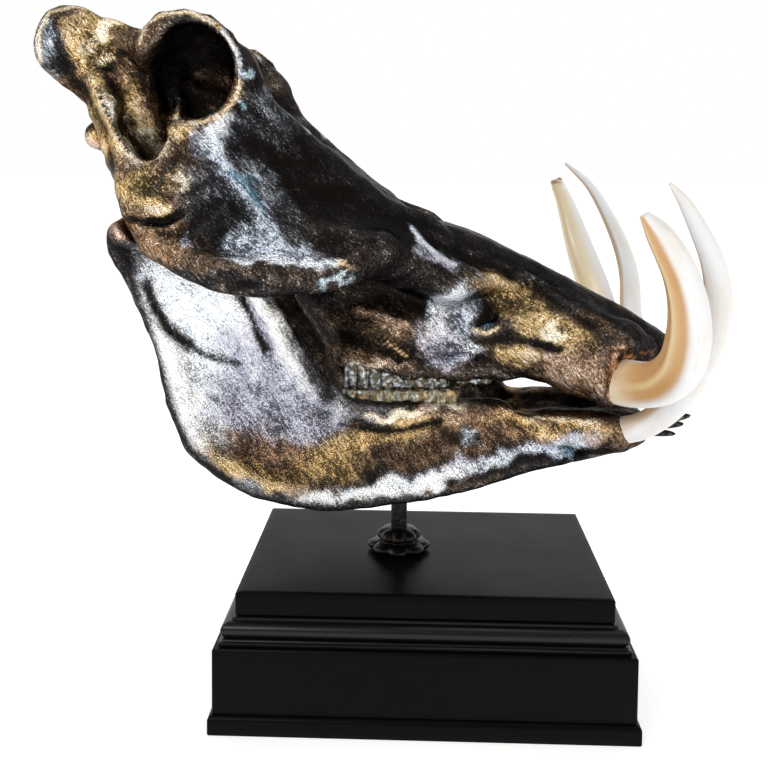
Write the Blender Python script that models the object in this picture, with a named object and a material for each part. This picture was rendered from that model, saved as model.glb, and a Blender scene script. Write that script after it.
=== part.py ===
"""Warthog skull on a moulded plinth.

The frame: origin at the centre of the plinth's underside, +X towards the snout, +Z up, -Y the
animal's right side. The bones are worked out in millimetres as blended rounded forms over a half
space, mirrored, contoured and thinned out; the rest is swept, turned or stacked. Final meshes are in metres.
"""

import math

import bmesh
import bpy
import numpy as np

MM = 0.001
GAP = 0.3  # clearance between neighbouring pieces
BONE_CELL = 3.0  # spacing of the samples that the bones are contoured from
PINCH_FILL = 0.4
CRANIUM_FACES = 2800
MANDIBLE_FACES = 1230

# Plinth: half length, half width and the levels of its boards
FOOT_HALF = (113.75, 82.0)
BODY_HALF = (112.0, 80.5)
TOP_HALF = (101.0, 69.375)
FOOT_TOP = 10.8
BODY_TOP = 46.0
MOULDING_TOP = 59.5
PLINTH_TOP = 72.0

# Post between the jaws
POST_X = -15.0
POST_RADIUS = 4.75
POST_END = 202.0
COLLAR_PETALS = 8

# Upper tusks: (x, distance from the midplane, z, half width, half thickness) from root to tip
UPPER_TUSK_RIGHT = [
    (86, 45, 189, 12.5, 10.5), (97, 52, 187, 13.5, 11), (108, 61, 186, 13.5, 11),
    (118, 80, 190.5, 12.2, 10), (122.5, 102, 203, 11.5, 9.2), (122.2, 118, 220, 11, 8.4),
    (119, 128, 236, 10, 7.5), (113.6, 136, 249.5, 9, 6.5), (107, 142, 261, 7.4, 5.4),
    (100, 146, 270.5, 4.8, 3.8), (93, 148, 278.5, 1.2, 1.0),
]
UPPER_TUSK_LEFT = [
    (86, 45, 189, 12.5, 10.5), (97, 52, 187, 13.5, 11), (108, 61, 186, 13.5, 11),
    (118, 81, 190, 12.4, 10.5), (121, 104, 201, 12.4, 10.5), (119, 121, 216, 12.4, 10),
    (114, 133, 233, 12, 9.4), (109, 141, 250, 10.8, 8), (102, 146, 273, 7.8, 6),
    (96, 148, 288, 5.6, 4.5), (94, 148.3, 293, 4.0, 3.2),
]
LOWER_TUSK_RIGHT = [
    (86, 31.5, 153, 6.5, 6.5), (96, 34.5, 153.4, 7.6, 7.2), (106, 38, 155, 7.6, 7.2),
    (119, 44.5, 160, 7.5, 7), (131.5, 57, 174.5, 7.5, 6.6), (138.8, 73, 195, 7.5, 6.4),
    (141.8, 90, 216.5, 7.3, 6.2), (139.5, 105, 237, 6.8, 5.6), (132.8, 117, 255.5, 5.8, 4.8),
    (123.5, 126, 271.5, 4.5, 4), (115.5, 131, 283.7, 3, 2.8), (108, 134, 292.5, 0.9, 0.9),
]
LOWER_TUSK_LEFT = [
    (86, 31.5, 153, 6.5, 6.5), (96, 34.5, 153.4, 7.6, 7.2), (106, 38, 155, 7.6, 7.2),
    (119, 44.5, 160, 7.5, 7), (131, 58, 172.5, 7.6, 6.8), (138, 78, 189, 7.8, 6.6),
    (140, 98, 206.5, 7.8, 6.4), (141.4, 112, 226, 7.6, 5.8), (137.5, 122, 246, 6.4, 5.2),
    (128, 129.5, 269, 5, 4), (116, 134, 289, 3.4, 2.8), (99, 135, 304.5, 0.9, 0.9),
]
TUSK_PLANE = (0.52, 0.61, 0.46)  # normal of the plane that a tusk curves in, on the left side

# Cheek teeth: (rear x, front x, rear y, front y, bottom z, top z, half width, ribs)
BITE_Z = 178.3
UPPER_MOLAR = (-45.0, 13.0, 45.0, 39.0, BITE_Z + 0.3, 194.0, 7.0, 9)
UPPER_PREMOLAR = (15.5, 36.0, 38.5, 36.0, BITE_Z + 2.2, 194.0, 5.0, 3)
LOWER_MOLAR = (-46.0, 19.0, 46.0, 39.5, 163.5, BITE_Z - 0.3, 6.5, 9)

# Lower incisors, from the middle outwards: root and tip (x, y, z), root radius
INCISORS = [
    ((121.0, 4.6, 151.0), (152.0, 5.4, 157.0), 3.0),
    ((117.0, 11.3, 151.0), (145.5, 13.0, 154.0), 2.9),
    ((112.0, 17.4, 150.5), (139.0, 20.5, 150.5), 2.6),
]

# Skull roof: outline along X and away from the midplane, then its height (x, y, z)
ROOF_PLAN = [
    (-30, -30), (-30, 34), (-52, 44), (-72, 56), (-90, 69), (-106, 77), (-124, 79), (-140, 76),
    (-151, 68), (-155, 58), (-157, 48), (-164, 41), (-174, 42), (-184, 49), (-194, 56), (-200, 54),
    (-200, 38), (-198, 20), (-197, 0), (-198, -38),
]
ROOF_TOP = [
    (-30, 0, 289), (-50, 0, 304), (-64, 0, 313), (-80, 0, 324), (-95, 0, 333), (-110, 0, 343),
    (-125, 0, 351), (-140, 0, 358), (-160, 0, 364), (-180, 0, 368), (-200, 0, 372), (-48, 38, 295),
    (-60, 44, 305), (-72, 50, 317), (-85, 56, 336), (-97, 63, 359.5), (-104, 70, 366), (-88, 42, 330),
    (-112, 72, 371.5), (-124, 74, 376.5), (-137, 72, 375), (-147, 66, 370), (-151, 58, 364),
    (-112, 56, 370), (-124, 58, 375), (-136, 58, 374), (-148, 56, 366), (-112, 40, 354),
    (-126, 40, 361), (-142, 40, 364), (-160, 38, 367), (-178, 40, 376), (-190, 48, 381),
    (-200, 54, 380), (-207, 58, 372), (-190, 24, 373), (-170, 20, 367), (-112, 20, 346),
    (-126, 20, 354), (-90, 25, 333), (-90, -25, 333), (-112, -20, 346), (-126, -20, 354),
    (-170, -20, 367), (-190, -24, 373), (-50, -28, 302), (-64, -34, 312),
]
ROOF_DEPTH = 13.0

# Sections of snout and braincase: (x, top, bottom, half width at top, half width at bottom, corner radius)
FACE = [
    (-100, 326, 262, 26, 16, 12), (-84, 322, 240, 34, 22, 14), (-66, 312, 212, 38, 34, 18),
    (-50, 304, 196, 39, 41, 20), (-30, 288, 190, 38, 42, 20), (-5, 272, 189, 36, 40, 20),
    (22, 264, 188, 34, 36, 20), (50, 251.5, 183, 32, 33, 19), (75, 239.5, 175.5, 30, 32, 17),
    (95, 229, 172, 28, 30, 15), (112, 220.5, 171, 25, 27, 13), (128, 211, 173, 21, 23, 11),
    (142, 202, 177, 15, 19, 8), (152, 194, 179, 11, 16, 6),
]
CASE = [
    (-200, 368, 312, 40, 16, 12), (-186, 368, 303, 38, 22, 13), (-172, 364, 291, 34, 30, 15),
    (-150, 358, 284, 33, 33, 18), (-130, 352, 284, 34, 30, 18), (-110, 344, 280, 34, 26, 16),
    (-90, 334, 270, 30, 22, 14), (-76, 326, 262, 30, 22, 14),
]

# Cheek arch: outline along X and Z, then the distance of its middle from the midplane (x, z, y)
ARCH = [
    (-155, 283), (-151, 270), (-144, 258), (-134, 252), (-122, 246.5), (-113, 241.5), (-97, 237),
    (-82, 236), (-66, 237.5), (-49, 238.5), (-38, 241), (-28, 247), (-14, 250), (4, 250), (14, 258),
    (4, 272), (-20, 280), (-44, 296), (-62, 313), (-80, 331), (-92, 345), (-98, 340), (-109, 324),
    (-121, 320), (-133, 322), (-134.5, 311), (-138, 303), (-145, 299), (-153, 295),
]
ARCH_MID = [
    (-155, 282, 89), (-146, 258, 94), (-126, 248, 103), (-97, 240, 106), (-66, 240, 102),
    (-45, 242, 92), (-30, 250, 76), (-24, 258, 62), (0, 262, 37), (-20, 280, 42), (-40, 296, 47),
    (-60, 316, 52), (-80, 336, 61), (-92, 346, 67), (-50, 280, 62), (-70, 300, 66), (-90, 320, 71),
    (-110, 318, 76), (-136, 314, 82), (-150, 300, 87), (-125, 285, 92), (-95, 280, 88), (-70, 270, 84),
    (-45, 262, 78),
]
ARCH_HALF = 5.0
ARCH_LIP = [
    (-135, 97, 260, 7), (-120, 104, 252, 7), (-98, 107, 246.5, 8), (-78, 105, 244.5, 8),
    (-56, 98, 244, 7), (-38, 87, 248, 7), (-24, 72, 256, 7),
]

# Nuchal fan across the back of the head: outline along Y and Z, its middle (y, z, x) and half thickness
FAN = [
    (0, 374), (18, 376), (38, 382), (52, 383), (61, 377), (64, 365), (61, 352), (55, 340), (50, 328),
    (46, 317), (38, 304), (20, 298), (0, 296), (-20, 298), (-30, 340), (-20, 374),
]
FAN_MID = [
    (0, 374, -192), (40, 381, -192), (56, 378, -194), (62, 365, -196), (60, 352, -195), (52, 340, -186),
    (50, 322, -167), (0, 340, -184), (0, 318, -178), (30, 350, -187), (30, 320, -173), (-20, 340, -186),
]
FAN_HALF = [
    (0, 374, 7), (40, 381, 10), (60, 370, 14), (60, 352, 14), (52, 336, 10), (50, 318, 9), (0, 340, 7),
    (30, 350, 6), (0, 315, 9), (-30, 340, 7),
]

# Bars of bone: (x, y, z, radius)
NUCHAL_EDGE = [(-190, 52, 372, 10), (-172, 50, 368, 9), (-156, 52, 363, 8), (-148, 60, 362, 6)]
EYE_BAR = [(-148, 58, 362, 6), (-146, 46, 346, 8), (-142, 38, 325, 10)]
TEMPORAL_RIDGE = [
    (-181, 54, 351, 7.5), (-169, 64, 331, 6), (-158, 77, 311, 5.5), (-150, 86, 293, 8),
    (-144, 89, 278, 9),
]
JOINT_ROOT = [(-163, 38, 307, 12), (-154, 60, 296, 12), (-147, 82, 284, 10.5)]
EYE_FLOOR = [
    (-133, 78, 317.5, 4.5), (-121, 77, 317.5, 5.5), (-108, 75, 324.5, 5), (-98, 72, 336, 5),
    (-95, 70, 350, 5),
]
CHEEK_ROOT = [(-40, 74, 256, 12), (-14, 52, 248, 13), (14, 40, 236, 12), (44, 34, 224, 10)]
BROW_SIDE = [(-88, 58, 314, 12), (-66, 48, 293, 13.5), (-44, 38, 278, 14)]
BROW = [(-84, 48, 317, 13), (-60, 42, 295, 13), (-34, 36, 272, 13), (-6, 32, 257, 12)]
TOOTH_RIDGE = [(-44, 44, 197, 8), (-10, 43, 190, 8), (20, 39, 189, 7.5), (40, 36, 189, 7)]
EYE_RIM = [
    (-145, 56, 352, 2.9), (-149, 61, 359, 2.9), (-147, 67, 369, 2.9), (-139, 71.5, 375.3, 2.9),
    (-126.5, 73.5, 376.4, 2.9), (-114, 73, 373.2, 2.9), (-103.5, 71, 365.3, 2.9),
    (-98.6, 70.5, 353.5, 2.9), (-98.4, 71, 342, 2.9), (-101.5, 73, 332, 2.9),
]
TEMPLE = [
    (-148, 72, 336, 8), (-146, 68, 322, 14), (-133, 64, 300, 17), (-112, 62, 285, 17),
    (-90, 66, 270, 17), (-70, 68, 262, 13),
]
TEMPLE_EXIT = [(-118, 64, 262, 20), (-96, 66, 250, 22), (-74, 66, 236, 20), (-58, 66, 216, 16)]
TEMPLE_BACK = [(-184, 44, 348, 7), (-175, 54, 328, 6.5), (-166, 62, 310, 7), (-158, 66, 297, 8)]
CASE_SIDE = [(-176, 46, 357, 12), (-168, 46, 344, 13), (-160, 43, 330, 13.5), (-152, 40, 314, 12)]
SHEATH = [
    (34, 30, 208, 15), (60, 35, 202, 17.5), (82, 43, 195.5, 18), (100, 54, 191, 17.5),
    (116, 64, 189, 17.5),
]
SHEATH_TOP = [(36, 30, 224, 13), (78, 34, 213, 15), (106, 40, 204, 13), (120, 38, 198, 10)]
SOCKET_MOUTH = (104, 57, 188)  # a point of the plane in which the upper tusk's socket opens
PREMAXILLA = [(92, 26, 184, 12), (118, 21, 180, 10), (140, 14, 180, 8), (149, 9, 181, 6.5)]
NOSE = [(92, 3, 194, 13), (120, 3, 192, 11.5), (150, 1, 191, 9), (172, 0, 190, 9)]
EAR_PROCESS = [(-166, 40, 300, 9), (-160, 43, 280, 7), (-154, 45, 262, 4.5)]
PTERYGOID = [(-108, 20, 280, 8), (-84, 21, 250, 6), (-64, 23, 220, 6), (-52, 27, 202, 6)]

# Half of the lower jaw: outline along X and Z, its middle's distance from the midplane and half thickness
JAW = [
    (-165, 264), (-160, 250), (-149, 232), (-141, 212), (-137, 197), (-134, 182), (-131, 167),
    (-126, 153), (-119, 143), (-108, 134.5), (-96, 127.5), (-82, 122), (-69, 119), (-54, 116),
    (-40, 115), (-15, 117), (8, 119), (35, 124), (58, 130), (86, 135.5), (104, 138.5), (116, 142),
    (112, 156), (98, 161), (80, 161), (60, 162.5), (48, 163.5), (38, 166), (20, 168), (-20, 168),
    (-48, 168), (-55, 178), (-64, 193), (-72, 206), (-79, 220), (-86, 234), (-93, 248), (-101, 256),
    (-112, 252), (-124, 248), (-136, 256), (-145, 266), (-156, 270),
]
JAW_MID = [
    (-166, 262, 78), (-150, 265, 78), (-96, 250, 76), (-80, 225, 73), (-60, 190, 64), (-150, 220, 75),
    (-142, 190, 72), (-136, 160, 70), (-118, 138, 69), (-120, 200, 69), (-95, 160, 62), (-88, 124, 66),
    (-54, 116, 60), (-46, 168, 51), (-20, 169, 46), (-20, 118, 53), (20, 169, 39), (20, 123, 43),
    (50, 166, 31), (50, 131, 33), (85, 163, 27), (85, 140, 26), (114, 145, 20),
]
JAW_HALF = [
    (-166, 262, 6), (-150, 265, 8), (-96, 250, 4.5), (-80, 225, 6), (-60, 190, 9), (-150, 220, 8),
    (-142, 190, 6.5), (-136, 160, 6), (-118, 138, 6.5), (-118, 200, 4.5), (-95, 160, 6),
    (-88, 124, 6.5), (-54, 116, 7.5), (-46, 168, 12), (-20, 169, 12), (-30, 140, 9), (-20, 118, 8),
    (20, 169, 10), (20, 140, 8.5), (20, 123, 8), (50, 166, 9), (50, 131, 9), (85, 163, 10),
    (85, 140, 9), (114, 145, 8),
]
JAW_EDGE = [
    (-158, 77, 255, 6), (-145, 76, 230, 7), (-135.5, 74, 205, 6), (-131, 72, 175, 5.5),
    (-121, 71, 154, 6), (-106, 70, 141.5, 6.5), (-85, 67, 129.5, 6.5), (-56, 61, 122.5, 6.5),
]
JAW_SHOULDER = [(-46, 52, 165, 9), (-14, 46, 163, 9), (16, 40, 163, 8.5), (40, 34, 163, 8)]
BRANCH_FRONT = [
    (-90, 76, 240, 4.5), (-80, 74, 222, 5.5), (-70, 70, 202, 6), (-60, 64, 185, 6.5),
    (-46, 58, 168, 8.5),
]
CHIN = [
    (34, 156, 140, 16, 14, 8), (52, 159, 133, 26, 20, 10), (70, 160, 134, 32, 24, 11),
    (90, 161, 136, 35, 25, 11), (106, 161, 137.5, 30, 23, 10), (120, 160, 139.5, 22, 19, 8),
    (131, 157, 143.5, 18, 15, 6),
]
LOWER_SHEATH = [(72, 30, 152, 11.5), (92, 35, 152.5, 11.5), (103, 37, 153, 11)]
JOINT_GAP = 2.2

# Surfaces: colour, roughness, metallic
SURFACES = {
    "metallic_bone": ((0.30, 0.26, 0.22), 0.34, 0.75),
    "ivory": ((0.86, 0.80, 0.68), 0.35, 0.0),
    "dark_enamel": ((0.32, 0.34, 0.32), 0.36, 0.6),
    "black_wood": ((0.018, 0.018, 0.019), 0.32, 0.0),
    "dark_metal": ((0.07, 0.07, 0.075), 0.35, 0.9),
}


def blend(a, b, k):
    """Union of two distance fields, rounded over a width k."""
    h = np.clip(0.5 + 0.5 * (b - a) / k, 0, 1)
    return b + (a - b) * h - k * h * (1 - h)


def carve(a, b, k):
    """First field with the second taken away, rounded over a width k."""
    return -blend(-a, b, k)


def spline(stations, at):
    """Smooth curve through rows of (position, values), read at an array of positions."""
    s = np.array(stations, float)
    t, v = s[:, 0], s[:, 1:]
    m = np.gradient(v, t, axis=0)
    at = np.clip(at, t[0], t[-1])
    i = np.clip(np.searchsorted(t, at, side="right") - 1, 0, len(t) - 2)
    h = (t[i + 1] - t[i])[..., None]
    u = (at - t[i])[..., None] / h
    start = (2 * u**3 - 3 * u**2 + 1) * v[i] + (u**3 - 2 * u**2 + u) * h * m[i]
    return start + (3 * u**2 - 2 * u**3) * v[i + 1] + (u**3 - u**2) * h * m[i + 1]


def closed_curve(points, per=6):
    """Closed smooth curve through points, with a number of steps between each two."""
    p = np.array(points, float)
    a, b, c, d = (np.roll(p, k, 0)[:, None] for k in (1, 0, -1, -2))
    u = (np.arange(per) / per)[None, :, None]
    q = 0.5 * (2 * b + (c - a) * u + (2 * a - 5 * b + 4 * c - d) * u**2 + (3 * b - a - 3 * c + d) * u**3)
    return q.reshape(-1, 2)


def outline(points, u, v, per=6):
    """Signed distance to a smooth closed outline in the plane of u and v, negative inside."""
    p = closed_curve(points, per)
    d = np.full(np.broadcast(u, v).shape, 1e9)
    inside = np.zeros(d.shape, bool)
    for (ax, ay), (bx, by) in zip(p, np.roll(p, -1, 0)):
        ex, ey = bx - ax, by - ay
        wx, wy = u - ax, v - ay
        t = np.clip((wx * ex + wy * ey) / (ex * ex + ey * ey), 0, 1)
        d = np.minimum(d, (wx - t * ex) ** 2 + (wy - t * ey) ** 2)
        turn = ex * wy - ey * wx
        rising = (ay <= v) & (by > v) & (turn > 0)
        falling = (ay > v) & (by <= v) & (turn < 0)
        inside ^= np.broadcast_to(rising | falling, d.shape)
    d = np.sqrt(d)
    return np.where(inside, -d, d)


def relief(spots, u, v, spread):
    """Smooth height over the plane of u and v through (u, v, height) spots."""
    s = np.array(spots, float)
    n = len(s)
    apart = np.hypot(s[:, None, 0] - s[None, :, 0], s[:, None, 1] - s[None, :, 1])
    system = np.zeros((n + 3, n + 3))
    system[:n, :n] = np.hypot(apart, spread)
    system[:n, n:] = np.column_stack([np.ones(n), s[:, :2]])
    system[n:, :n] = system[:n, n:].T
    w = np.linalg.solve(system, np.append(s[:, 2], (0, 0, 0)))
    height = w[n] + w[n + 1] * u + w[n + 2] * v
    for (a, b, _), share in zip(s, w[:n]):
        height = height + share * np.sqrt((u - a) ** 2 + (v - b) ** 2 + spread**2)
    return height


def sheet(flat, over, under, r):
    """Plate inside an outline's distance and between two faces, with edges rounded by r."""
    q = flat + r
    w = np.maximum(over, under) + r
    outer = np.sqrt(np.maximum(q, 0) ** 2 + np.maximum(w, 0) ** 2)
    return outer + np.minimum(np.maximum(q, w), 0) - r


def ball(p, centre, radii, turn=None):
    """Ellipsoid, turned by a matrix where one is given."""
    d = [p[k] - centre[k] for k in range(3)]
    if turn is not None:
        d = [row[0] * d[0] + row[1] * d[1] + row[2] * d[2] for row in turn]
    near = np.sqrt(sum((d[k] / radii[k]) ** 2 for k in range(3)))
    slope = np.sqrt(sum((d[k] / radii[k] ** 2) ** 2 for k in range(3))) + 1e-9
    return near * (near - 1) / slope


def tilt(axis, degrees):
    """Turning matrix about one axis."""
    c, s = np.cos(np.radians(degrees)), np.sin(np.radians(degrees))
    turns = {
        "x": [[1, 0, 0], [0, c, s], [0, -s, c]],
        "y": [[c, 0, -s], [0, 1, 0], [s, 0, c]],
        "z": [[c, s, 0], [-s, c, 0], [0, 0, 1]],
    }
    return turns[axis]


def rod(p, joints, k):
    """Chain of tapered round links through (x, y, z, radius) joints."""
    d = None
    for first, second in zip(joints[:-1], joints[1:]):
        a = np.array(first, float)
        e = np.array(second, float) - a
        w = [p[n] - a[n] for n in range(3)]
        t = np.clip((w[0] * e[0] + w[1] * e[1] + w[2] * e[2]) / (e[:3] @ e[:3]), 0, 1)
        link = np.sqrt(sum((w[n] - t * e[n]) ** 2 for n in range(3))) - (a[3] + t * e[3])
        d = link if d is None else blend(d, link, k)
    return d


def loft(p, stations, ends, r_end):
    """Rounded sections across X: (x, top, bottom, half width at top, half width at bottom, corner radius)."""
    x, y, z = p
    rows = spline(stations, x[:, 0, 0])
    top, bottom, wide, narrow, r = (rows[:, k][:, None, None] for k in range(5))
    share = np.clip((z - bottom) / (top - bottom), 0, 1)
    across = y - narrow - (wide - narrow) * share + r
    along = np.abs(z - (top + bottom) / 2) - (top - bottom) / 2 + r
    d = np.sqrt(np.maximum(across, 0) ** 2 + np.maximum(along, 0) ** 2)
    d = d + np.minimum(np.maximum(across, along), 0) - r
    return carve(d, -np.maximum(ends[0] - x, x - ends[1]), r_end)


def head_core(p):
    """Skull roof, braincase and snout."""
    x, y, z = p
    plan = outline(ROOF_PLAN, x[:, :, 0], y[:, :, 0])[:, :, None]
    top = relief(ROOF_TOP, x[:, :, 0], y[:, :, 0], 10.0)[:, :, None]
    d = sheet(plan, z - top, top - ROOF_DEPTH - z, 5.5)
    d = blend(d, loft(p, CASE, (-189, -80), 8), 9)
    return blend(d, loft(p, FACE, (-94, 151), 6), 10)


def nuchal_crest(d, p):
    """Flared fan across the back of the head and the ridge from it down to the jaw joint."""
    x, y, z = p
    fan = outline(FAN, y[0], z[0])[None]
    middle = relief(FAN_MID, y[0], z[0], 12.0)[None]
    half = relief(FAN_HALF, y[0], z[0], 12.0)[None]
    d = blend(d, sheet(fan, x - middle - half, middle - half - x, 6.0), 6)
    d = blend(d, ball(p, (-171, 26, 330), (14, 24, 26)), 8)
    d = blend(d, rod(p, NUCHAL_EDGE, 3), 6)
    d = blend(d, ball(p, (-158, 36, 328), (13, 14, 36), tilt("y", 28)), 6)
    d = blend(d, rod(p, EYE_BAR, 4), 6)
    d = blend(d, rod(p, TEMPORAL_RIDGE, 4), 6)
    d = blend(d, rod(p, JOINT_ROOT, 4), 8)
    return blend(d, ball(p, (-141, 84, 272), (11, 18, 9)), 6)


def cheek(d, p):
    """Broad cheek arch with its thick lower lip, running into the snout and the brow."""
    x, y, z = p
    flat = outline(ARCH, x[:, 0, :], z[0])[:, None, :]
    middle = relief(ARCH_MID, x[:, 0, :], z[0], 12.0)[:, None, :]
    d = blend(d, sheet(flat, y - middle - ARCH_HALF, middle - ARCH_HALF - y, 4.8), 5)
    d = blend(d, rod(p, ARCH_LIP, 3), 5)
    d = blend(d, rod(p, EYE_FLOOR, 2), 4)
    d = blend(d, rod(p, CHEEK_ROOT, 4), 12)
    d = blend(d, rod(p, BROW_SIDE, 4), 10)
    d = blend(d, ball(p, (-18, 36, 206), (34, 12, 18)), 8)
    return blend(d, rod(p, TOOTH_RIDGE, 3), 5)


def eye_and_temple(d, p):
    """Eye socket with its thin rim, and the hollow behind it that opens below inside the arch."""
    d = blend(d, ball(p, (-100, 58, 345), (10, 14, 16)), 8)
    d = blend(d, rod(p, BROW, 4), 8)
    d = carve(d, ball(p, (-121.4, 76, 348), (22.8, 27, 24.8)), 2.5)
    d = carve(d, ball(p, (-119, 55, 342), (17, 15, 16)), 5)
    d = blend(d, rod(p, EYE_RIM, 1), 2.5)
    d = carve(d, rod(p, TEMPLE, 6), 6)
    d = carve(d, ball(p, (-143, 60, 336), (8, 24, 20)), 5)
    d = blend(d, rod(p, TEMPLE_BACK, 4), 6)
    d = blend(d, rod(p, CASE_SIDE, 4), 5)
    return carve(d, rod(p, TEMPLE_EXIT, 6), 6)


def muzzle(d, p):
    """Sheaths of the upper tusks, premaxilla, and the opening of the nose."""
    x, y, z = p
    sheath = blend(rod(p, SHEATH, 6), rod(p, SHEATH_TOP, 4), 12)
    mouth = (SOCKET_MOUTH[0] - x) * 0.72 + (SOCKET_MOUTH[1] - y) * 0.66 + (z - SOCKET_MOUTH[2]) * 0.22
    d = blend(d, carve(sheath, mouth, 3), 14)
    d = blend(d, rod(p, PREMAXILLA, 4), 7)
    d = carve(d, ball(p, (60, 47, 232), (40, 12, 9), tilt("y", -14)), 8)
    d = carve(d, ball(p, (10, 0, 186), (78, 22, 7)), 5)
    d = carve(d, ball(p, (-62, 0, 214), (34, 14, 30), tilt("y", -20)), 6)
    return carve(d, rod(p, NOSE, 4), 4)


def cranium(x, y, z):
    """Signed distance to the upper skull; y is the distance from the midplane."""
    p = (x, y, z)
    d = muzzle(eye_and_temple(cheek(nuchal_crest(head_core(p), p), p), p), p)
    d = carve(d, ball(p, (-219, 22, 354), (18, 30, 22)), 8)
    d = blend(d, ball(p, (-188, 15, 316.5), (9.5, 9, 9), tilt("y", -20)), 3)
    d = carve(d, ball(p, (-202, 0, 330), (16, 9, 9)), 4)
    d = blend(d, rod(p, EAR_PROCESS, 3), 6)
    d = blend(d, ball(p, (-140, 30, 282), (13, 10, 10)), 5)
    return blend(d, rod(p, PTERYGOID, 3), 6)


def mandible(x, y, z):
    """Signed distance to the lower jaw; y is the distance from the midplane."""
    p = (x, y, z)
    flat = outline(JAW, x[:, 0, :], z[0])[:, None, :]
    middle = relief(JAW_MID, x[:, 0, :], z[0], 12.0)[:, None, :]
    half = relief(JAW_HALF, x[:, 0, :], z[0], 12.0)[:, None, :]
    d = sheet(flat, y - middle - half, middle - half - y, 5.0)
    d = blend(d, ball(p, (-153, 80, 264), (9.5, 17, 8.5)), 5)
    d = blend(d, rod(p, JAW_EDGE, 3), 6)
    d = blend(d, rod(p, JAW_SHOULDER, 3), 6)
    d = blend(d, rod(p, BRANCH_FRONT, 3), 6)
    d = blend(d, loft(p, CHIN, (36, 129), 5), 8)
    d = blend(d, rod(p, LOWER_SHEATH, 4), 7)
    d = carve(d, ball(p, (44, 0, 168), (26, 15, 16)), 7)
    d = carve(d, ball(p, (92, 0, 172), (30, 15, 12)), 6)
    return carve(d, cranium(x, y, z) - JOINT_GAP, 1.5)


def without_pinches(field):
    """Fills the grid squares whose corners alternate between bone and air, so that the skin is single."""
    field = field.copy()
    found = True
    while found:
        found = False
        for first, second in ((0, 1), (0, 2), (1, 2)):
            corners = []
            for i, j in ((0, 0), (1, 0), (1, 1), (0, 1)):
                part = [slice(None)] * 3
                part[first] = slice(i, field.shape[first] - 1 + i)
                part[second] = slice(j, field.shape[second] - 1 + j)
                corners.append(field[tuple(part)])
            a, b, c, d = [corner < 0 for corner in corners]
            pinch = (a == c) & (b == d) & (a != b)
            if pinch.any():
                found = True
                for corner in corners:
                    corner[pinch] = np.minimum(corner[pinch], -PINCH_FILL)
    return field


def contour(field, corner, cell):
    """One vertex in each cell that the zero level crosses, quads across each crossed edge."""
    inside = field < 0
    shape = np.array(field.shape) - 1
    count = np.zeros(shape, int)
    place = np.zeros((3,) + tuple(shape))
    crossed = []
    for axis in range(3):
        first, second = [slice(None)] * 3, [slice(None)] * 3
        first[axis], second[axis] = slice(0, -1), slice(1, None)
        low, high = field[tuple(first)], field[tuple(second)]
        hit = inside[tuple(first)] != inside[tuple(second)]
        share = np.where(hit, low / np.where(hit, low - high, 1), 0)
        crossed.append((hit, inside[tuple(first)]))
        side_a, side_b = [k for k in range(3) if k != axis]
        for i in (0, 1):
            for j in (0, 1):
                part = [slice(None)] * 3
                part[side_a] = slice(i, hit.shape[side_a] - 1 + i)
                part[side_b] = slice(j, hit.shape[side_b] - 1 + j)
                near = hit[tuple(part)]
                count += near
                place[axis] += share[tuple(part)]
                place[side_a] += near * i
                place[side_b] += near * j
    live = count > 0
    index = -np.ones(shape, int)
    index[live] = np.arange(live.sum())
    inner = np.stack([place[k][live] / count[live] for k in range(3)], 1)
    vertices = np.array(corner) + (inner + np.argwhere(live)) * cell
    faces = [faces_across(index, axis, *crossed[axis]) for axis in range(3)]
    return vertices, np.concatenate(faces)


def faces_across(index, axis, hit, low_inside):
    """The quads around the crossed grid edges of one direction."""
    side_a, side_b = [k for k in range(3) if k != axis]
    inner = [slice(None)] * 3
    inner[side_a] = inner[side_b] = slice(1, -1)
    at = np.argwhere(hit[tuple(inner)])
    at[:, side_a] += 1
    at[:, side_b] += 1
    corners = []
    for i, j in ((1, 1), (0, 1), (0, 0), (1, 0)):
        cell = at.copy()
        cell[:, side_a] -= i
        cell[:, side_b] -= j
        corners.append(index[cell[:, 0], cell[:, 1], cell[:, 2]])
    quads = np.stack(corners, 1)
    turned = low_inside[tuple(inner)][hit[tuple(inner)]]
    if axis == 1:
        turned = ~turned
    quads[~turned] = quads[~turned][:, ::-1]
    return quads


def bone_mesh(form, low, high):
    """Contours a form of (x, |y|, z) over both halves."""
    half = int(round(high[1] / BONE_CELL))
    x = low[0] + BONE_CELL * np.arange(int((high[0] - low[0]) / BONE_CELL) + 1)
    y = BONE_CELL * np.arange(half + 1)
    z = low[2] + BONE_CELL * np.arange(int((high[2] - low[2]) / BONE_CELL) + 1)
    field = form(x[:, None, None], y[None, :, None], z[None, None, :])
    both = np.concatenate([field[:, :0:-1], field], 1)
    return contour(without_pinches(both), (low[0], -half * BONE_CELL, low[2]), BONE_CELL)


def fresh_scene():
    """An empty scene with a collection for the pieces and one for the cutters."""
    for old in list(bpy.data.objects):
        bpy.data.objects.remove(old)
    groups = []
    for name in ("warthog_skull", "cutters"):
        group = bpy.data.collections.new(name)
        bpy.context.scene.collection.children.link(group)
        groups.append(group)
    return groups


def surface(name):
    """Material of a named surface."""
    colour, roughness, metallic = SURFACES[name]
    made = bpy.data.materials.new(name)
    made.use_nodes = True
    shader = made.node_tree.nodes["Principled BSDF"]
    shader.inputs["Base Color"].default_value = (*colour, 1)
    shader.inputs["Roughness"].default_value = roughness
    shader.inputs["Metallic"].default_value = metallic
    made.diffuse_color = (*colour, 1)
    return made


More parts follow.
